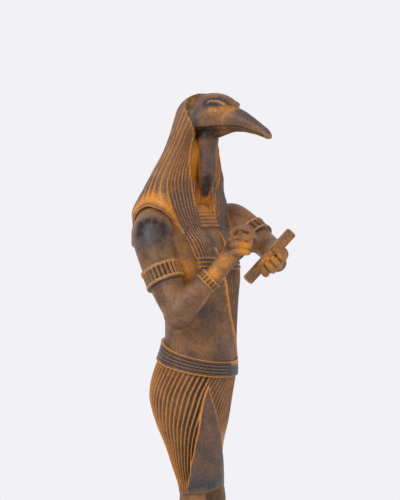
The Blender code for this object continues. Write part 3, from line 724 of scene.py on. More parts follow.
# Lappets: the wig's front lines run down in front of the shoulders and end in three bars
lappet = {
    "sections": (  # up, inner side, inner front, outer side, outer front, bulge
        (194.5, 5.2, 16.9, 17.2, 13.0, 1.2),
        (200.7, 5.2, 16.0, 17.7, 11.4, 1.5),
        (205.0, 5.5, 14.0, 18.6, 9.8, 1.9),
        (209.6, 5.9, 11.9, 19.4, 7.6, 1.9),
        (213.0, 6.0, 10.4, 20.4, 5.6, 1.9),
        (243.0, 11.6, -0.4, 16.6, -4.2, 0.8),
    ),
    "wigRuns": (209.0, 220.0),  # over these heights it turns into the wig's own surface
    "lift": 0.25,
    "sunk": (233.0, 0.9),  # it sinks into the wig above this height
    "stand": 1.1,
    "reach": 4.0,
    "hemTop": 200.9,
    "hemRise": 0.7,
    "top": 240.0,
    "rows": (22, 48),
    "bars": 3,
    "barValley": 0.2,
    "columnsPerLine": 8,
    "lineDepth": 0.6,
    "valley": 0.17,
    "depth": 7.0,
    "rust": 0.7,
    "slate": 1.1,
}


def lappetForm(sign, under):
    bottom, hemTop = lappet["sections"][0][0], lappet["hemTop"]
    hemRows, upperRows = lappet["rows"]
    upper = np.linspace(hemTop + 0.3, lappet["top"], upperRows)
    up = np.concatenate([np.linspace(bottom, hemTop, hemRows), upper])
    shape = curved(lappet["sections"], up)
    line = np.linspace(0.0, wig["frontLines"], int(wig["frontLines"]) * lappet["columnsPerLine"] + 1)
    share = line / wig["frontLines"]
    phase = line % 1.0
    valley = hump(np.minimum(phase, 1 - phase), lappet["valley"])
    above = ease(hemTop - 0.2, hemTop + 0.4, up)[:, None]
    barPhase = (up[:, None] - bottom) / (hemTop - bottom) * lappet["bars"] % 1.0
    barValley = hump(np.minimum(barPhase, 1 - barPhase), lappet["barValley"]) * (1 - above)
    carved = np.maximum(valley * above, barValley)
    crown = shape[:, 4:5] * 4 * share * (1 - share) + lappet["hemRise"] * (1 - above)
    hanging = np.empty((len(up), len(share), 3))
    hanging[..., 0] = -shape[:, :1] - (shape[:, 2:3] - shape[:, :1]) * share
    hanging[..., 1] = shape[:, 1:2] + (shape[:, 3:4] - shape[:, 1:2]) * share + crown
    hanging[..., 2] = up[:, None]
    level = np.broadcast_to(up[:, None], hanging.shape[:2])
    degrees = wigDegrees(line[None, :], level)
    sunk = lappet["sunk"][1] * ease(lappet["sunk"][0], lappet["top"], level)
    lying = onSections(wig["sections"], level, degrees, flareOf(level, degrees) + lappet["lift"] - sunk)
    blend = ease(*lappet["wigRuns"], up)[:, None, None]
    outer = draped(hanging * (1 - blend) + lying * blend, under, lappet["stand"], lappet["reach"])
    outer = outer - outward(outer) * (lappet["lineDepth"] * carved)[..., None]
    behind = np.linspace(0.92, 0.08, 6)[:, None]
    inner = outer[:, :1] * (1 - behind) + outer[:, -1:] * behind
    inner = inner - (0.0, lappet["depth"], 0.0)
    rings = np.concatenate([outer, inner], axis=1) * (-sign, 1.0, 1.0)
    plain = np.zeros(inner.shape[:2])
    rust = np.concatenate([lappet["rust"] * carved, plain], axis=1)
    slate = np.concatenate([lappet["slate"] * (1 - carved), plain], axis=1)
    return wrapped("lappet", rings, rust=rust, slate=slate)


# Trim: two raised cords round the shoulders, under the wig's hem
trim = {"first": 37.0, "last": 180.0, "radius": 0.6, "aboveHem": 1.2, "gap": 1.4, "stand": 0.1, "rust": 0.3}


def trimForm(drop, under):
    half = np.linspace(trim["first"], trim["last"], 60)
    up = hemOf(half) + trim["aboveHem"] - drop
    path = onSections(wig["sections"], up, half, flareOf(up, half) + trim["stand"])
    path = draped(path, under, wig["stand"] + trim["stand"] * (1 + drop), wig["reach"])
    path = np.concatenate([path, path[-2::-1] * (-1.0, 1.0, 1.0)])
    stations = np.concatenate([path, np.full((len(path), 1), trim["radius"])], axis=1)
    rings = limb([tuple(row) for row in stations], 12, 2)
    return wrapped("trim", rings, rust=np.full(rings.shape[:2], trim["rust"]))


# Kilt: pleats that sweep round the hips to a smooth hanging flap in front
kilt = {
    "sections": (
        (78.5, 13.8, 10.1, 1.0),
        (82.2, 14.0, 10.2, 0.5),
        (91.5, 15.6, 11.4, -1.6),
        (102.0, 17.7, 13.2, -3.5),
        (116.0, 21.8, 17.7, -5.2),
        (129.5, 25.0, 19.8, -5.7),
        (141.0, 24.2, 20.1, -3.4),
        (148.0, 22.8, 18.8, -1.9),
        (155.0, 21.5, 17.7, -0.6),
        (163.0, 21.0, 17.0, 0.0),
    ),
    "pleats": 48,
    "columnsPerPleat": 7,
    "rows": 74,
    "depth": 0.85,
    "ridge": 0.20,  # half width of a ridge as a share of the pitch
    # height, degrees from the front: how far the pleats have turned, and the two edges of the flap
    "sweep": (
        (78.5, 56.0), (82.2, 53.0), (99.0, 37.0), (112.0, 26.0), (123.8, 13.0), (141.0, 0.0), (150.0, -5.0),
    ),
    "nearEdge": (
        (78.5, 86.0), (81.1, 81.0), (90.0, 62.0), (99.8, 46.0), (109.7, 37.0), (119.6, 33.0), (135.0, 24.0),
    ),
    "farEdge": (
        (78.5, -60.0), (97.5, -29.0), (103.0, -20.0), (113.9, 1.0),
        (122.2, 10.0), (128.4, 17.0), (135.0, 24.0),
    ),
    "flapTop": (135.5, 133.5),
    "flapRise": 0.55,
    "rimRise": 0.3,
    "rimWidths": (1.6, 1.5),
    "frontFrom": (-66.0, -62.0),  # finer pleats cover the front from here to the flap
    "frontTo": (24.5, 22.5),
    "frontSunk": 0.25,
    "fineApex": 135.0,
    "finePitch": 6.4,
    "fineDepth": 0.55,
    "fineWidth": 0.26,
    "fineSlant": 1.15,
    "fineFade": (104.0, 120.0),
    "hemUp": 79.5,
    "hem": (
        (-180.0, 80.0), (-95.0, 83.2), (-38.0, 82.6), (0.0, 80.4),
        (30.0, 78.9), (90.0, 78.2), (140.0, 78.8), (180.0, 80.0),
    ),
}
kiltPatinaAndShade = {
    "ridgeRust": 0.75,
    "rimRust": 0.95,
    "frontRust": (0.3, 0.25),  # all over, and more where the fine pleats fade
    # painted shade in the pleats' grooves and in the fine valleys in front
    "pleatGrooveShade": (0.45, 0.5, 26.0),  # all over, and more within these degrees of the flap
    "fineValleyShade": 0.55,
    "hemSoot": (0.55, 86.0, 79.5),
    "flapSlate": (0.5, 92.0, 82.0),
}

belt = {
    "frontUp": 142.6,
    "backUp": 154.6,
    "frontHeight": 8.0,
    "backHeight": 9.4,
    "thickness": 0.95,
    "ridges": 5,
    "ridgeDepth": 0.42,
    "ridgeValley": 0.2,
    "twist": (0.12, 60.0, 2.2),  # depth, turns round the belt and lean of the cords' twist
    "plate": (-34.0, -6.0),  # degrees that the plain plate in front covers
    "border": (0.02, 0.06),
    "sunk": 3.0,
    "columns": 240,
    "rowsPerRidge": 6,
    "rust": 0.9,
    "soot": 0.75,
    "slate": (0.95, 0.5),
}


def beltRise(degrees):
    return (belt["backUp"] - belt["frontUp"]) * (1 - np.cos(np.radians(degrees))) / 2


def kiltForm():
    columns = kilt["pleats"] * kilt["columnsPerPleat"]
    start = np.linspace(0.0, 360.0, columns, endpoint=False)[None, :]
    share = np.linspace(0.0, 1.0, kilt["rows"])[:, None]
    up = kilt["hemUp"] + (belt["frontUp"] - kilt["hemUp"]) * share
    degrees = start + between(kilt["sweep"], up)
    seen = (degrees + 180.0) % 360.0 - 180.0
    dip = (kilt["hemUp"] - between(kilt["hem"], seen)) * (1 - share) ** 3
    level = up + beltRise(degrees) * share ** 1.5 - dip
    phase = start / (360.0 / kilt["pleats"]) % 1.0
    ridge = hump(np.minimum(phase, 1 - phase), kilt["ridge"])
    near = between(kilt["nearEdge"], up)
    far = between(kilt["farEdge"], up)
    flap = ease(far - 1.0, far + 1.0, seen) * ease(near + 1.0, near - 1.0, seen) * ease(*kilt["flapTop"], up)
    infront = ease(*kilt["frontTo"], seen) * ease(*kilt["frontFrom"], seen)
    infront = infront * (1 - flap) * ease(near + 0.5, far - 0.5, seen)
    finePhase = (seen + kilt["fineSlant"] * (up - kilt["fineApex"])) / kilt["finePitch"] % 1.0
    fineFade = ease(*kilt["fineFade"], up)
    fineValley = hump(np.minimum(finePhase, 1 - finePhase), kilt["fineWidth"]) * fineFade
    pleated = (1 - flap) * (1 - infront)
    nearWidth, farWidth = kilt["rimWidths"]
    rim = np.maximum(hump(seen - near, nearWidth), hump(seen - far, farWidth))
    rim = rim * ease(136.0, 132.0, up) * ease(80.0, 84.0, up)
    grow = -kilt["depth"] * (1 - ridge) * pleated * ease(0.0, 0.02, share)
    grow = grow - kilt["fineDepth"] * fineValley * infront - kilt["frontSunk"] * infront
    grow = grow + kilt["flapRise"] * flap + kilt["rimRise"] * rim
    rings = onSections(kilt["sections"], level, degrees, grow)

    patinaAndPaintedLight = kiltPatinaAndShade
    allOver, faded = patinaAndPaintedLight["frontRust"]
    rust = patinaAndPaintedLight["ridgeRust"] * ridge * pleated + patinaAndPaintedLight["rimRust"] * rim
    rust = rust + infront * (allOver + faded * (1 - fineFade)) * (1 - fineValley)
    # painted shade in the grooves between the pleats, deeper beside the flap's edge, and in the fine valleys;
    # the flap's darker hem is its own colour
    allOver, beside, reach = patinaAndPaintedLight["pleatGrooveShade"]
    nearFlap = hump(np.maximum(seen - near, 0.0), reach) * ease(near - 1.0, near + 1.0, seen)
    soot = (1 - ridge) * pleated * (allOver + beside * nearFlap) + patinaAndPaintedLight["fineValleyShade"] * fineValley * infront
    strength, gone, full = patinaAndPaintedLight["hemSoot"]
    soot = soot + strength * flap * ease(gone, full, level) * (1 - rim)
    allOver, gone, full = patinaAndPaintedLight["flapSlate"]
    slate = flap * (allOver + (1 - allOver) * ease(gone, full, level)) * (1 - rim)
    return wrapped("kilt", rings, rust=rust, soot=soot, slate=slate)


def beltForm():
    degrees = np.linspace(0.0, 360.0, belt["columns"], endpoint=False)[None, :]
    seen = (degrees + 180.0) % 360.0 - 180.0
    rows = belt["ridges"] * belt["rowsPerRidge"] + 1
    share = np.concatenate([[0.0], np.linspace(0.0, 1.0, rows), [1.0]])[:, None]
    rise = beltRise(degrees)
    growth = (belt["backHeight"] - belt["frontHeight"]) / (belt["backUp"] - belt["frontUp"])
    up = belt["frontUp"] + rise + (belt["frontHeight"] + growth * rise) * (share - 0.5)
    phase = share * belt["ridges"] % 1.0
    valley = hump(np.minimum(phase, 1 - phase), belt["ridgeValley"])
    twistDepth, turns, lean = belt["twist"]
    twist = 0.5 + 0.5 * np.cos(np.radians(degrees * turns) + share * belt["ridges"] * lean)
    plateFrom, plateTo = belt["plate"]
    plate = ease(plateFrom - 1.0, plateFrom + 1.0, seen) * ease(plateTo + 1.0, plateTo - 1.0, seen)
    thin, wide = belt["border"]
    border = ease(1 - wide, 1 - thin, share) + ease(wide, thin, share)
    corded = 1 - np.maximum(plate, border)
    grow = belt["thickness"] - (belt["ridgeDepth"] * valley + twistDepth * twist) * corded
    grow[0] = grow[-1] = -belt["sunk"]
    plateSlate, cordSlate = belt["slate"]
    slate = plateSlate * plate + cordSlate * corded
    rings = onSections(kilt["sections"], up, degrees, grow)
    rust = belt["rust"] * border
    # painted shade in the valleys between the belt's cords
    soot = belt["soot"] * valley * corded
    return wrapped("belt", rings, rust=rust, soot=soot, slate=slate)


# Shawl: vertical pleats over the left flank and the back
shawl = {
    "frontEdge": ((140.0, -52.0), (145.0, -48.0), (149.8, -44.0), (170.6, -9.0), (191.4, 4.0), (206.0, 8.0)),
    "backEdge": -170.0,
    "low": 140.0,
    "high": 206.0,
    "thickness": 0.85,
    "pleatDepth": 0.5,
    "pitch": 5.2,
    "valley": 0.22,
    "sunk": 1.6,
    "grid": (46, 150),
    "rust": (0.15, 0.012),  # all over, and full within this share of the front edge
    "soot": 0.8,
}


def shawlForm():
    up = np.linspace(shawl["low"], shawl["high"], shawl["grid"][0])[:, None]
    edge = between(shawl["frontEdge"], up)
    share = np.linspace(0.0, 1.0, shawl["grid"][1])[None, :]
    degrees = edge + (shawl["backEdge"] - edge) * share
    phase = share * (4.0 - shawl["backEdge"]) / shawl["pitch"] % 1.0  # 4 degrees: its front edge at the bust
    valley = hump(np.minimum(phase, 1 - phase), shawl["valley"])
    grow = shawl["thickness"] * ease(0.0, 0.008, share)
    grow = grow - shawl["pleatDepth"] * valley * ease(0.004, 0.012, share)
    outer = onSections(body["torso"], up, degrees, grow)
    inner = onSections(body["torso"], up, degrees[:, ::-6], -shawl["sunk"])
    rings = np.concatenate([outer, inner], axis=1)
    plain = np.zeros(inner.shape[:2])
    allOver, edgeWidth = shawl["rust"]
    rust = np.concatenate([allOver + hump(share, edgeWidth) + 0 * up, plain], axis=1)
    # painted shade in the valleys between the shawl's pleats
    soot = np.concatenate([shawl["soot"] * valley * ease(0.008, 0.02, share) + 0 * up, plain], axis=1)
    return wrapped("shawl", rings, rust=rust, soot=soot)


# Bands round the arms: plain rims and upright bars between them
bands = {
    # each sits part of the way between the third and fourth stations of its arm
    "rightArmlet": {"arm": "rightUpperArm", "share": 0.25, "height": 10.0, "bars": 25, "rim": 1.5},
    "leftArmlet": {"arm": "leftUpperArm", "share": 0.55, "height": 8.0, "bars": 17, "rim": 1.4},
    "bracelet": {"arm": "rightForearm", "share": 0.55, "height": 5.2, "bars": 16, "rim": 0.75},
}
bandShape = {
    "columnsPerBar": 8,
    "rows": 34,
    "rimFrom": (0.30, 0.35),  # shares of the height, up and down from the middle
    "edge": (0.5, 0.46),
    "edgeShare": 0.25,
    "floorShare": 0.2,
    "barShare": 0.55,
    "sunk": 2.5,
    "rust": (0.335, 0.03, 0.8, 0.1),
    "soot": 0.85,
    "slate": 0.45,
}


def bandForm(key):
    made = bands[key]
    low, high = np.array(body[made["arm"]][2:4], float)
    middle = low[:3] + (high - low)[:3] * made["share"]
    radius = low[3] + (high[3] - low[3]) * made["share"]
    run = (high - low)[:3]
    run /= np.linalg.norm(run)
    across = np.cross(run, skyward)
    across /= np.linalg.norm(across)
    over = np.cross(across, run)
    shape = bandShape
    columns = made["bars"] * shape["columnsPerBar"]
    turn = np.linspace(0, math.tau, columns, endpoint=False)
    phase = np.arange(columns) / shape["columnsPerBar"] % 1.0
    bar = ease(0.18, 0.32, phase) * ease(0.98, 0.84, phase)
    where = np.concatenate([[-0.5], np.linspace(-0.5, 0.5, shape["rows"]), [0.5]])[:, None]
    rim = ease(*shape["rimFrom"], np.abs(where))
    rounded = 1 - shape["edgeShare"] * (1 - ease(*shape["edge"], np.abs(where)))
    barred = (1 - rim) * (shape["floorShare"] + shape["barShare"] * bar)
    reach = radius + made["rim"] * (rim * rounded + barred)
    reach[0] = reach[-1] = radius - shape["sunk"]
    ring = np.outer(np.cos(turn), across) + np.outer(np.sin(turn), over)
    rings = middle + run * (made["height"] * where)[..., None] + ring * reach[..., None]
    # painted shade in the sunken gaps between the bars
    gaps = (1 - rim) * (1 - bar)
    seam, seamWidth, seamRust, gapRust = shape["rust"]
    rust = seamRust * hump(np.abs(where) - seam, seamWidth) + gapRust * gaps
    return wrapped(key, rings, rust=rust, soot=shape["soot"] * gaps, slate=shape["slate"] * rim)


# Hands: a palm, curled fingers and a thumb; the right one holds its fingers out to write
hands = {
    "rightMiddle": (-14.2, 38.4, 208.6),
    "leftMiddle": (3.9, 46.2, 198.0),
    "grain": 0.00038,
    "rounds": 1,
    # right, up, towards the camera and radius at each joint of a finger, from the middle of the hand
    "rightFingers": (
        ((-5.6, 2.2, 4.2, 1.7), (-2.4, 2.9, 6.3, 1.7), (2.2, 3.0, 6.4, 1.5), (6.4, 3.6, 5.2, 1.1)),
        ((-5.6, -1.0, 4.4, 1.8), (-2.4, -0.6, 6.8, 1.8), (1.4, -0.8, 6.4, 1.65), (3.0, -1.4, 4.6, 1.3)),
        ((-4.8, -4.4, 4.0, 1.8), (-1.6, -4.2, 6.2, 1.8), (1.8, -4.6, 5.6, 1.6), (3.2, -5.0, 4.0, 1.2)),
        ((-5.0, 5.4, 2.4, 1.8), (-1.8, 7.8, 3.6, 1.8), (2.4, 7.4, 4.7, 1.6), (5.6, 5.6, 5.0, 1.2)),
    ),
    "rightPalm": (5.6, 5.8, 5.2),
    # along the palette, out from it, towards the camera and radius
    "leftPalm": ((-6.0, -1.0, -0.6, 3.2), (-1.0, -1.2, 0.0, 3.8), (5.2, -1.9, -0.6, 4.0)),
    "leftFingers": (
        ((4.6, 0.6, -1.0, 1.9), (4.9, 0.2, 2.8, 2.0), (4.7, -1.0, 4.8, 1.9), (4.3, -2.8, 5.0, 1.6)),
        ((0.9, 1.7, -1.0, 2.0), (1.0, 1.6, 3.0, 2.1), (0.8, -0.2, 5.4, 2.0), (0.6, -2.6, 5.6, 1.7)),
        ((-3.1, 1.6, -1.0, 2.0), (-3.1, 1.5, 3.0, 2.1), (-3.2, -0.2, 5.3, 2.0), (-3.3, -2.4, 5.4, 1.7)),
        ((-7.0, 1.0, -1.0, 1.9), (-7.1, 0.7, 2.4, 2.0), (-7.0, -0.7, 4.2, 1.9), (-6.8, -2.3, 4.4, 1.6)),
    ),
    "leftGaps": (2.8, -1.1, -5.1),
    "leftThumb": ((6.4, -1.8, 2.6, 1.7), (5.0, -4.4, 5.2, 1.9), (1.8, -5.8, 6.0, 1.9)),
    "gapSoot": (0.6, 0.75),
    "rust": 0.1,
}
paletteWay = (0.778, 0.629)  # right and up along the palette, as the camera sees it


def fromHand(middle, offset):
    right, up, toward = offset[:3]
    return np.asarray(middle, float) + screenRight * right + skyward * up + towardCamera * toward


def fingersOf(middle, runs, columns, steps):
    forms = []
    for run in runs:
        stations = [(*fromHand(middle, joint), joint[3]) for joint in run]
        forms.append(wrapped("finger", limb(stations, columns, steps)))
    return forms


def fromPalette(slide, out, toward, radius):
    right, up = paletteWay
    return right * slide + up * out, up * slide - right * out, toward, radius


def handForms():
    right = [wrapped("palm", ballRings(hands["rightMiddle"], hands["rightPalm"]))]
    right += fingersOf(hands["rightMiddle"], hands["rightFingers"], 16, 4)
    runs = (hands["leftPalm"], *hands["leftFingers"], hands["leftThumb"])
    runs = [[fromPalette(*joint) for joint in run] for run in runs]
    left = fingersOf(hands["leftMiddle"], runs, 20, 5)
    return [
        castTogether("rightHand", right, hands["grain"], hands["rounds"]),
        castTogether("leftHand", left, hands["grain"], hands["rounds"]),
    ]


def noteHand(hand):
    # a little rust all over, and painted shade between the left hand's fingers
    offset = layoutOf(points(hand)) - hands["leftMiddle"]
    along = (offset @ screenRight) * paletteWay[0] + offset[:, 2] * paletteWay[1]
    soot = np.zeros(len(offset))
    if hand.name == "leftHand":
        width, strength = hands["gapSoot"]
        soot = strength * sum(hump(along - gap, width) for gap in hands["leftGaps"])
        soot = soot * ease(3.0, 5.0, offset @ towardCamera)
    note(hand, soot=soot, rust=np.full(len(offset), hands["rust"]))


palette = {
    "middle": (-0.6, 45.8, 201.8),
    "run": (0.415, 0.531, 0.738),
    "length": 34.6,
    "width": 5.8,
    "thickness": 3.4,
    "grid": (70, 64),
    "squareness": (0.3, 0.36),
    "endRound": (0.955, 0.75),
    "wells": (0.86, 0.72),  # shares of the way from the middle to the upper end
    "wellRadius": (1.15, 0.75),
    "wellDepth": 0.55,
}


def paletteForm():
    # a scribe's palette: a slim bar with two shallow wells near its upper end
    run = np.array(palette["run"])
    run /= np.linalg.norm(run)
    wide = np.cross(towardCamera, run)
    wide /= np.linalg.norm(wide)
    thin = np.cross(run, wide)
    rows, columns = palette["grid"]
    along = np.linspace(-1.0, 1.0, rows)
    turn = np.linspace(0, math.tau, columns, endpoint=False)
    wideSquare, thinSquare = palette["squareness"]
    acrossWide = np.sign(np.cos(turn)) * np.abs(np.cos(turn)) ** wideSquare * palette["width"] / 2
    acrossThin = np.sign(np.sin(turn)) * np.abs(np.sin(turn)) ** thinSquare * palette["thickness"] / 2
    roundFrom, roundShare = palette["endRound"]
    past = ((np.abs(along) - roundFrom) / (1 - roundFrom)).clip(0, 1)
    ends = np.sqrt(np.clip(1 - past**2 * roundShare, 0, 1))[:, None]
    offset = run * (along * palette["length"] / 2)[:, None, None]
    offset = offset + wide * (acrossWide * ends)[..., None] + thin * (acrossThin * ends)[..., None]
    face = ease(0.6, 1.2, offset @ thin)
    sunk = np.zeros(face.shape)
    for share in palette["wells"]:
        gap = np.hypot(offset @ run - share * palette["length"] / 2, offset @ wide)
        sunk += palette["wellDepth"] * ease(*palette["wellRadius"], gap) * face
    return wrapped("palette", offset - thin * sunk[..., None] + np.array(palette["middle"]))


# Small ribs across the chest, under the throat
ribs = {
    "count": 5,
    "top": 224.4,
    "pitch": 1.9,
    "halfLength": 6.5,
    "radius": 0.6,
    "lowestRadius": 0.9,
    "proud": 0.1,
    "bow": 0.35,
}


def ribForm(step):
    up = ribs["top"] - ribs["pitch"] * step
    _, depth, middle = curved(body["torso"], up)
    front = middle + depth + ribs["proud"]
    radius = ribs["lowestRadius"] if step == ribs["count"] - 1 else ribs["radius"]
    stations = []
    for share in (-1, -0.5, 0, 0.5, 1):
        stations.append((share * ribs["halfLength"], front - ribs["bow"] * share * share, up, radius))
    return wrapped("rib", limb(stations, 12, 4))


base = {
    "width": 0.0568,
    "depth": 0.075,
    "edge": 0.0012,
    "web": (7.0, 9.0, 80.0),  # the stone between the legs
    "webSink": 0.5,
}


def baseForms():
    deselect()
    bpy.ops.mesh.primitive_cube_add(size=1.0, location=(0, 0, figure["baseHeight"] / 2))
    slab = bpy.context.object
    slab.name = "base"
    bpy.ops.transform.resize(value=(base["width"], base["depth"], figure["baseHeight"]))
    bpy.ops.object.transform_apply(location=True, rotation=True, scale=True)
    useModifier(slab, "BEVEL", width=base["edge"], segments=4, limit_method="ANGLE")
    note(slab)
    width, depth, height = base["web"]
    deselect()
    bpy.ops.mesh.primitive_cube_add(size=1.0, location=Vector(place((0.0, 0.5, height / 2))))
    web = bpy.context.object
    web.name = "web"
    tall = height + 2 * base["webSink"]
    bpy.ops.transform.resize(value=[length * figure["millimetre"] for length in (width, depth, tall)])
    bpy.ops.object.transform_apply(location=True, rotation=True, scale=True)
    note(web)
    return [slab, web]


mostTriangles = 196000
statue = bodyForm()
note(statue)
print("body cast")
parts = [headForm(), kiltForm(), beltForm(), wigForm(statue)]
parts += [lappetForm(-1, statue), lappetForm(1, statue), shawlForm()]
parts += [trimForm(0.0, statue), trimForm(trim["gap"], statue)]
parts += [bandForm(key) for key in bands]
print("head and dress made")
for hand in handForms():
    noteHand(hand)
    parts.append(hand)
parts += [paletteForm(), *[ribForm(step) for step in range(ribs["count"])], *baseForms()]
print("hands, palette and base made")
for part in parts:
    fuse(statue, part)
statue.name = "castFigure"
statue.data.name = "castFigure"
useModifier(statue, "TRIANGULATE")
kept = min(1.0, mostTriangles / len(statue.data.polygons))
useModifier(statue, "DECIMATE", ratio=kept, use_collapse_triangulate=True)
print("cast in one:", len(statue.data.polygons), "triangles")

# Patina and painted light: the ochre the brush left in the hollows, painted shade that darkens the hollows,
# and a light tan on the highs that is partly rubbed wear and partly painted highlight
rays = {"count": 18, "short": 0.0024, "long": 0.014, "lift": 0.00012}
patinaAndPaintedLight = {
    # how closed in a point is where a mark begins and where it is full, and how strong the mark is
    "wideRust": (0.2, 0.7, 0.8),
    "nearRust": (0.15, 0.55, 0.45),
    # the next two marks are painted shade in hollows, from how closed in a point is
    "nearSoot": (0.35, 0.75, 0.25),
    "wideSoot": (0.25, 0.7, 0.35),
    # light tan on what stands out: partly rubbed wear, partly painted highlight
    "wearAndHighlight": (0.02, 0.25),  # how far it stands out
    "farSide": 0.8,  # how strong a spot's mirrored copy is
}
spots = {
    # side, front, up, radius, strength
    "slate": (
        (-39.3, -2.3, 213.7, 10.0, 1.0),
        (-30.0, 6.0, 207.0, 5.0, 0.5),
        (-19.0, 13.0, 206.0, 9.0, 0.35),
        (-21.4, 34.6, 207.0, 3.2, 1.0),
        (-8.6, 3.0, 277.0, 5.0, 0.6),
        (-9.0, 6.5, 271.0, 4.5, 0.5),
        (-9.0, 12.0, 163.5, 6.0, 0.5),
        (-12.0, 15.0, 172.0, 5.0, 0.6),
        (-6.0, 15.5, 158.0, 5.0, 0.5),
        (-37.0, 12.0, 177.0, 5.5, 0.6),
        (-2.0, 19.0, 216.5, 2.6, 1.0),
    ),
    "rust": (
        (-24.0, 4.0, 186.0, 8.0, 0.7),
        (-24.0, 8.0, 194.0, 7.0, 0.8),
        (0.0, 6.0, 229.0, 7.0, 1.0),
        (-17.4, 43.8, 206.4, 4.6, 1.0),
        (-1.4, 47.6, 200.6, 3.6, 0.7),
        (-24.4, 28.0, 192.5, 4.5, 0.8),
        (-22.0, 34.0, 199.0, 5.0, 0.6),
        (0.0, 47.0, 199.0, 9.0, 0.4),
        (-24.0, 10.0, 206.0, 8.0, 0.4),
        (-32.0, 8.0, 196.0, 5.0, 0.35),
    ),
    "soot": (
        (-2.9, 6.9, 243.6, 2.4, 0.8),
        (-2.9, 6.8, 241.0, 2.8, 1.3),
        (-2.8, 6.5, 238.4, 3.0, 1.4),
        (-2.7, 6.0, 236.0, 3.0, 1.4),
        (-2.4, 5.2, 233.6, 2.6, 1.2),
        (-39.8, -7.4, 217.6, 3.0, 1.3),
        (-39.4, -3.6, 220.0, 2.8, 1.3),
        (-37.6, 0.2, 220.0, 2.8, 1.2),
        (-34.4, 2.6, 217.6, 3.0, 1.1),
        (-34.4, 2.6, 213.6, 3.2, 0.8),
        (-35.8, 1.7, 209.6, 3.6, 0.6),
        (-40.2, -7.6, 213.4, 2.8, 1.2),
        (-17.0, 9.0, 203.0, 7.0, 0.22),
        (-22.0, 6.0, 209.0, 6.0, 0.22),
        (-38.8, -2.0, 207.0, 3.6, 0.35),
        (-20.8, 35.2, 207.6, 2.8, 0.9),
    ),
}


def recessOf(form):
    # how closed in each point is, near by and further off, from rays over its half sphere
    found = points(form)
    normals = normalsOf(form)
    tree = BVHTree.FromPolygons(found.tolist(), [tuple(face.vertices) for face in form.data.polygons])
    golden = math.pi * (3 - math.sqrt(5))
    steps = np.arange(rays["count"])
    height = np.sqrt(1 - (steps + 0.5) / rays["count"])
    ringSize = np.sqrt(1 - height**2)
    pattern = np.stack([ringSize * np.cos(golden * steps), ringSize * np.sin(golden * steps), height], axis=1)
    helper = np.where(np.abs(normals[:, 2:]) < 0.9, [[0.0, 0.0, 1.0]], [[1.0, 0.0, 0.0]])
    across = np.cross(normals, helper)
    across /= np.linalg.norm(across, axis=1)[:, None]
    over = np.cross(normals, across)
    near = np.zeros(len(found))
    wide = np.zeros(len(found))
    cast = tree.ray_cast
    for index in range(len(found)):
        start = Vector(found[index] + normals[index] * rays["lift"])
        ways = pattern @ np.stack([across[index], over[index], normals[index]])
        for way in ways.tolist():
            distance = cast(start, way, rays["long"])[3]
            if distance is not None:
                wide[index] += 1 - distance / rays["long"]
                near[index] += max(0.0, 1 - distance / rays["short"])
    return near / rays["count"], wide / rays["count"]


def bulgeOf(form):
    # how far each point stands out from its neighbours, over a ring and over a wider patch
    found = points(form)
    normals = normalsOf(form)
    edges = np.empty(len(form.data.edges) * 2, dtype=np.int64)
    form.data.edges.foreach_get("vertices", edges)
    edges = edges.reshape(-1, 2)
    first, second = edges[:, 0], edges[:, 1]
    lean = found[second] - found[first]
    lean /= np.maximum(np.linalg.norm(lean, axis=1), 1e-9)[:, None]
    count = np.bincount(edges.ravel(), minlength=len(found)).astype(float)
    bulge = np.bincount(first, -(lean * normals[first]).sum(1), len(found))
    bulge += np.bincount(second, (lean * normals[second]).sum(1), len(found))
    bulge /= np.maximum(count, 1)
    for _ in range(2):
        spreadOut = np.bincount(first, bulge[second], len(found))
        spreadOut += np.bincount(second, bulge[first], len(found))
        bulge = 0.5 * bulge + 0.5 * spreadOut / np.maximum(count, 1)
    return bulge


def spotted(laid, kind):
    total = np.zeros(len(laid))
    for side, front, up, radius, strength in spots[kind]:
        for sign in (1, -1):
            gap = np.linalg.norm(laid - (side * sign, front, up), axis=1)
            weight = strength if sign == 1 else strength * patinaAndPaintedLight["farSide"]
            total = np.maximum(total, weight * hump(gap, radius))
    return total


def storeMark(form, name, values):
    attribute = form.data.attributes.new(name, "FLOAT", "POINT")
    attribute.data.foreach_set("value", np.clip(values, 0, 1).astype(np.float32))


def markPatinaAndPaintedLight(form):
    found = points(form)
    laid = layoutOf(found)
    known = np.concatenate(marked["points"])
    tree = KDTree(len(known))
    for index, point in enumerate(known.tolist()):
        tree.insert(point, index)
    tree.balance()
    nearest = np.array([tree.find(point)[1] for point in found.tolist()])
    rust, soot, slate = (np.concatenate(marked[kind])[nearest] for kind in ("rust", "soot", "slate"))
    near, wide = recessOf(form)
    bulge = bulgeOf(form)
    closed = {"near": near, "wide": wide}

    def grown(key, kind):
        low, high, strength = patinaAndPaintedLight[key]
        return strength * ease(low, high, closed[kind])

    rust = np.maximum(rust, grown("wideRust", "wide")) + grown("nearRust", "near") + spotted(laid, "rust")
    # painted shade: darker where rays find a point closed in, near by and further off; the ochre from the
    # same rays is the real patina in the hollows
    soot = np.maximum(soot, spotted(laid, "soot")) + grown("nearSoot", "near") + grown("wideSoot", "wide")
    storeMark(form, "rust", rust)
    storeMark(form, "soot", soot)
    storeMark(form, "slate", np.maximum(slate, spotted(laid, "slate")))
    # partly rubbed wear and partly painted highlight on raised edges and ridges
    storeMark(form, "wearAndHighlight", ease(*patinaAndPaintedLight["wearAndHighlight"], bulge))


markPatinaAndPaintedLight(statue)
print("patina marked")


def colour(code):
    # sRGB hex to linear
    channels = [int(code[start : start + 2], 16) / 255 for start in (0, 2, 4)]
    return (*[c / 12.92 if c <= 0.04045 else ((c + 0.055) / 1.055) ** 2.4 for c in channels], 1.0)


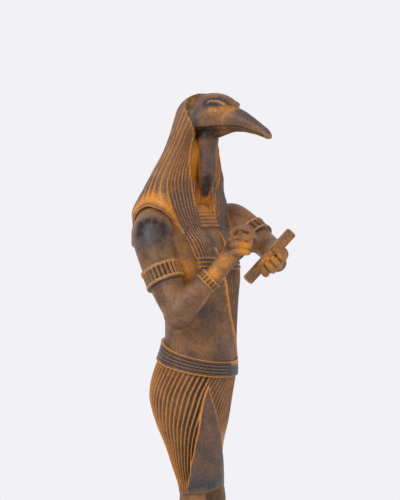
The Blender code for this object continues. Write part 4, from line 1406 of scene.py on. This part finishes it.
def addNode(tree, kind, links=(), **settings):
    made = tree.nodes.new(kind)
    for key, value in settings.items():
        if key.startswith("in"):
            made.inputs[int(key[2:])].default_value = value
        else:
            setattr(made, key, value)
    for source, output, target in links:
        tree.links.new(source.outputs[output], made.inputs[target])
    return made


stone = {
    "brown": "835b38",
    "dullBrown": "563f2e",
    "slate": "3f3b3d",
    "rust": "c27c28",
    # the dark colour: real dark patches, and painted shade in grooves, gaps and hollows
    "soot": "241a14",
    # light tan for raised edges: rubbed wear and painted highlight
    "wornAndLitTan": "b8936d",
    "roughness": 0.42,
    "specular": 0.22,
    # noise: scale for each metre, detail and roughness
    "clouds": (95.0, 4.0, 0.6),  # 10 mm
    "blots": (450.0, 4.0, 0.65),  # 2 mm
    "grains": (1100.0, 3.0, 0.7),  # 1 mm
    "spread": (0.36, 0.64),  # the part of a noise's range that is used
    "grainShade": (0.76, 1.22),
    "bumpStrength": 0.35,
    "bumpDepth": 0.00025,
}
# each mark and its colour: how much noise breaks it up, where it begins and where it is full
coats = (
    ("slate", "slate", 0.35, 0.12, 0.95),
    ("rust", "rust", 0.4, 0.1, 0.9),
    ("wearAndHighlight", "wornAndLitTan", 0.3, 0.15, 1.6),
    ("soot", "soot", 0.35, 0.1, 1.0),
)


def blendIn(tree, below, mark, noise, noiseShare, low, high, code):
    # lays a colour over what is below where a mark, broken up by noise, is strong
    broken = addNode(tree, "ShaderNodeMath", [(noise, "Fac", 0)], operation="MULTIPLY_ADD")
    broken.inputs[1].default_value = noiseShare * 2
    broken.inputs[2].default_value = -noiseShare
    total = addNode(tree, "ShaderNodeMath", [(mark, "Fac", 0), (broken, 0, 1)], operation="ADD")
    share = addNode(tree, "ShaderNodeMapRange", [(total, 0, 0)], in1=low, in2=high)
    laid = addNode(tree, "ShaderNodeMix", [(share, 0, 0), (below, 2, 6)], data_type="RGBA")
    laid.inputs[7].default_value = colour(code)
    return laid


def castStoneWithPatinaAndPaintedLight():
    # cast resin stone with a rubbed wax and rust patina: soft sheen, brown over slate, ochre in the hollows;
    # its colour also holds painted shade in grooves and hollows and a painted highlight of light tan on
    # raised edges
    material = bpy.data.materials.new("castStoneWithPatinaAndPaintedLight")
    material.use_nodes = True
    tree = material.node_tree
    shader = tree.nodes["Principled BSDF"]
    where = addNode(tree, "ShaderNodeTexCoord")
    noises = []
    for key in ("clouds", "blots", "grains"):
        scale, detail, roughness = stone[key]
        links = [(where, "Object", "Vector")]
        noises.append(addNode(tree, "ShaderNodeTexNoise", links, in2=scale, in3=detail, in4=roughness))
    clouds, blots, grains = noises
    low, high = stone["spread"]
    cloud = addNode(tree, "ShaderNodeMapRange", [(clouds, "Fac", 0)], in1=low, in2=high)
    skin = addNode(tree, "ShaderNodeMix", [(cloud, 0, 0)], data_type="RGBA")
    skin.inputs[6].default_value = colour(stone["brown"])
    skin.inputs[7].default_value = colour(stone["dullBrown"])
    for mark, hue, noiseShare, begins, full in coats:
        marking = addNode(tree, "ShaderNodeAttribute", attribute_name=mark)
        skin = blendIn(tree, skin, marking, blots, noiseShare, begins, full, stone[hue])
    darkest, lightest = stone["grainShade"]
    links = [(grains, "Fac", 0)]
    shade = addNode(tree, "ShaderNodeMapRange", links, in1=low, in2=high, in3=darkest, in4=lightest)
    grainy = addNode(tree, "ShaderNodeVectorMath", [(skin, 2, 0), (shade, 0, 1)], operation="MULTIPLY")
    tree.links.new(grainy.outputs[0], shader.inputs["Base Color"])
    shader.inputs["Roughness"].default_value = stone["roughness"]
    shader.inputs["Specular IOR Level"].default_value = stone["specular"]
    bump = addNode(tree, "ShaderNodeBump", [(grains, "Fac", "Height")], in0=stone["bumpStrength"])
    bump.inputs["Distance"].default_value = stone["bumpDepth"]
    tree.links.new(bump.outputs[0], shader.inputs["Normal"])
    return material


statue.data.materials.clear()
statue.data.materials.append(castStoneWithPatinaAndPaintedLight())
deselect()
statue.select_set(True)
bpy.context.view_layer.objects.active = statue
bpy.ops.object.shade_smooth_by_angle(angle=math.radians(50))

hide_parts("statue")
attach(statue, "root")

# Floor, lights and a plain pale surround
studio = {
    "floorRadius": 0.62,
    "floor": "e9e8ec",
    "floorRoughness": 0.9,
    "surround": "f2f1f6",
    "aim": (0, 0, 0.18),
}
deselect()
bpy.ops.mesh.primitive_circle_add(vertices=96, radius=studio["floorRadius"], fill_type="NGON")
floor = bpy.context.object
floor.name = "floor"
floorPaint = bpy.data.materials.new("paleFloor")
floorPaint.use_nodes = True
paint = floorPaint.node_tree.nodes["Principled BSDF"]
paint.inputs["Base Color"].default_value = colour(studio["floor"])
paint.inputs["Roughness"].default_value = studio["floorRoughness"]
floor.data.materials.append(floorPaint)

world = bpy.data.worlds.new("surround")
bpy.context.scene.world = world
world.use_nodes = True
world.node_tree.nodes["Background"].inputs[0].default_value = colour(studio["surround"])
world.node_tree.nodes["Background"].inputs[1].default_value = 1.0  # the backdrop's own brightness
bpy.context.scene.view_settings.view_transform = "Standard"

# name, place, size, watts
lights = (
    ("key", (-1.2, -0.1, 0.9), 0.5, 11.0),
    ("fill", (0.7, -1.1, 0.6), 0.9, 1.5),
)
for name, where, size, power in lights:
    deselect()
    bpy.ops.object.light_add(type="AREA", location=where)
    lamp = bpy.context.object
    lamp.name = name
    lamp.data.size = size
    lamp.data.energy = power
    lamp.rotation_mode = "QUATERNION"
    lamp.rotation_quaternion = (Vector(studio["aim"]) - Vector(where)).to_track_quat("-Z", "Y")
print("studio lit")
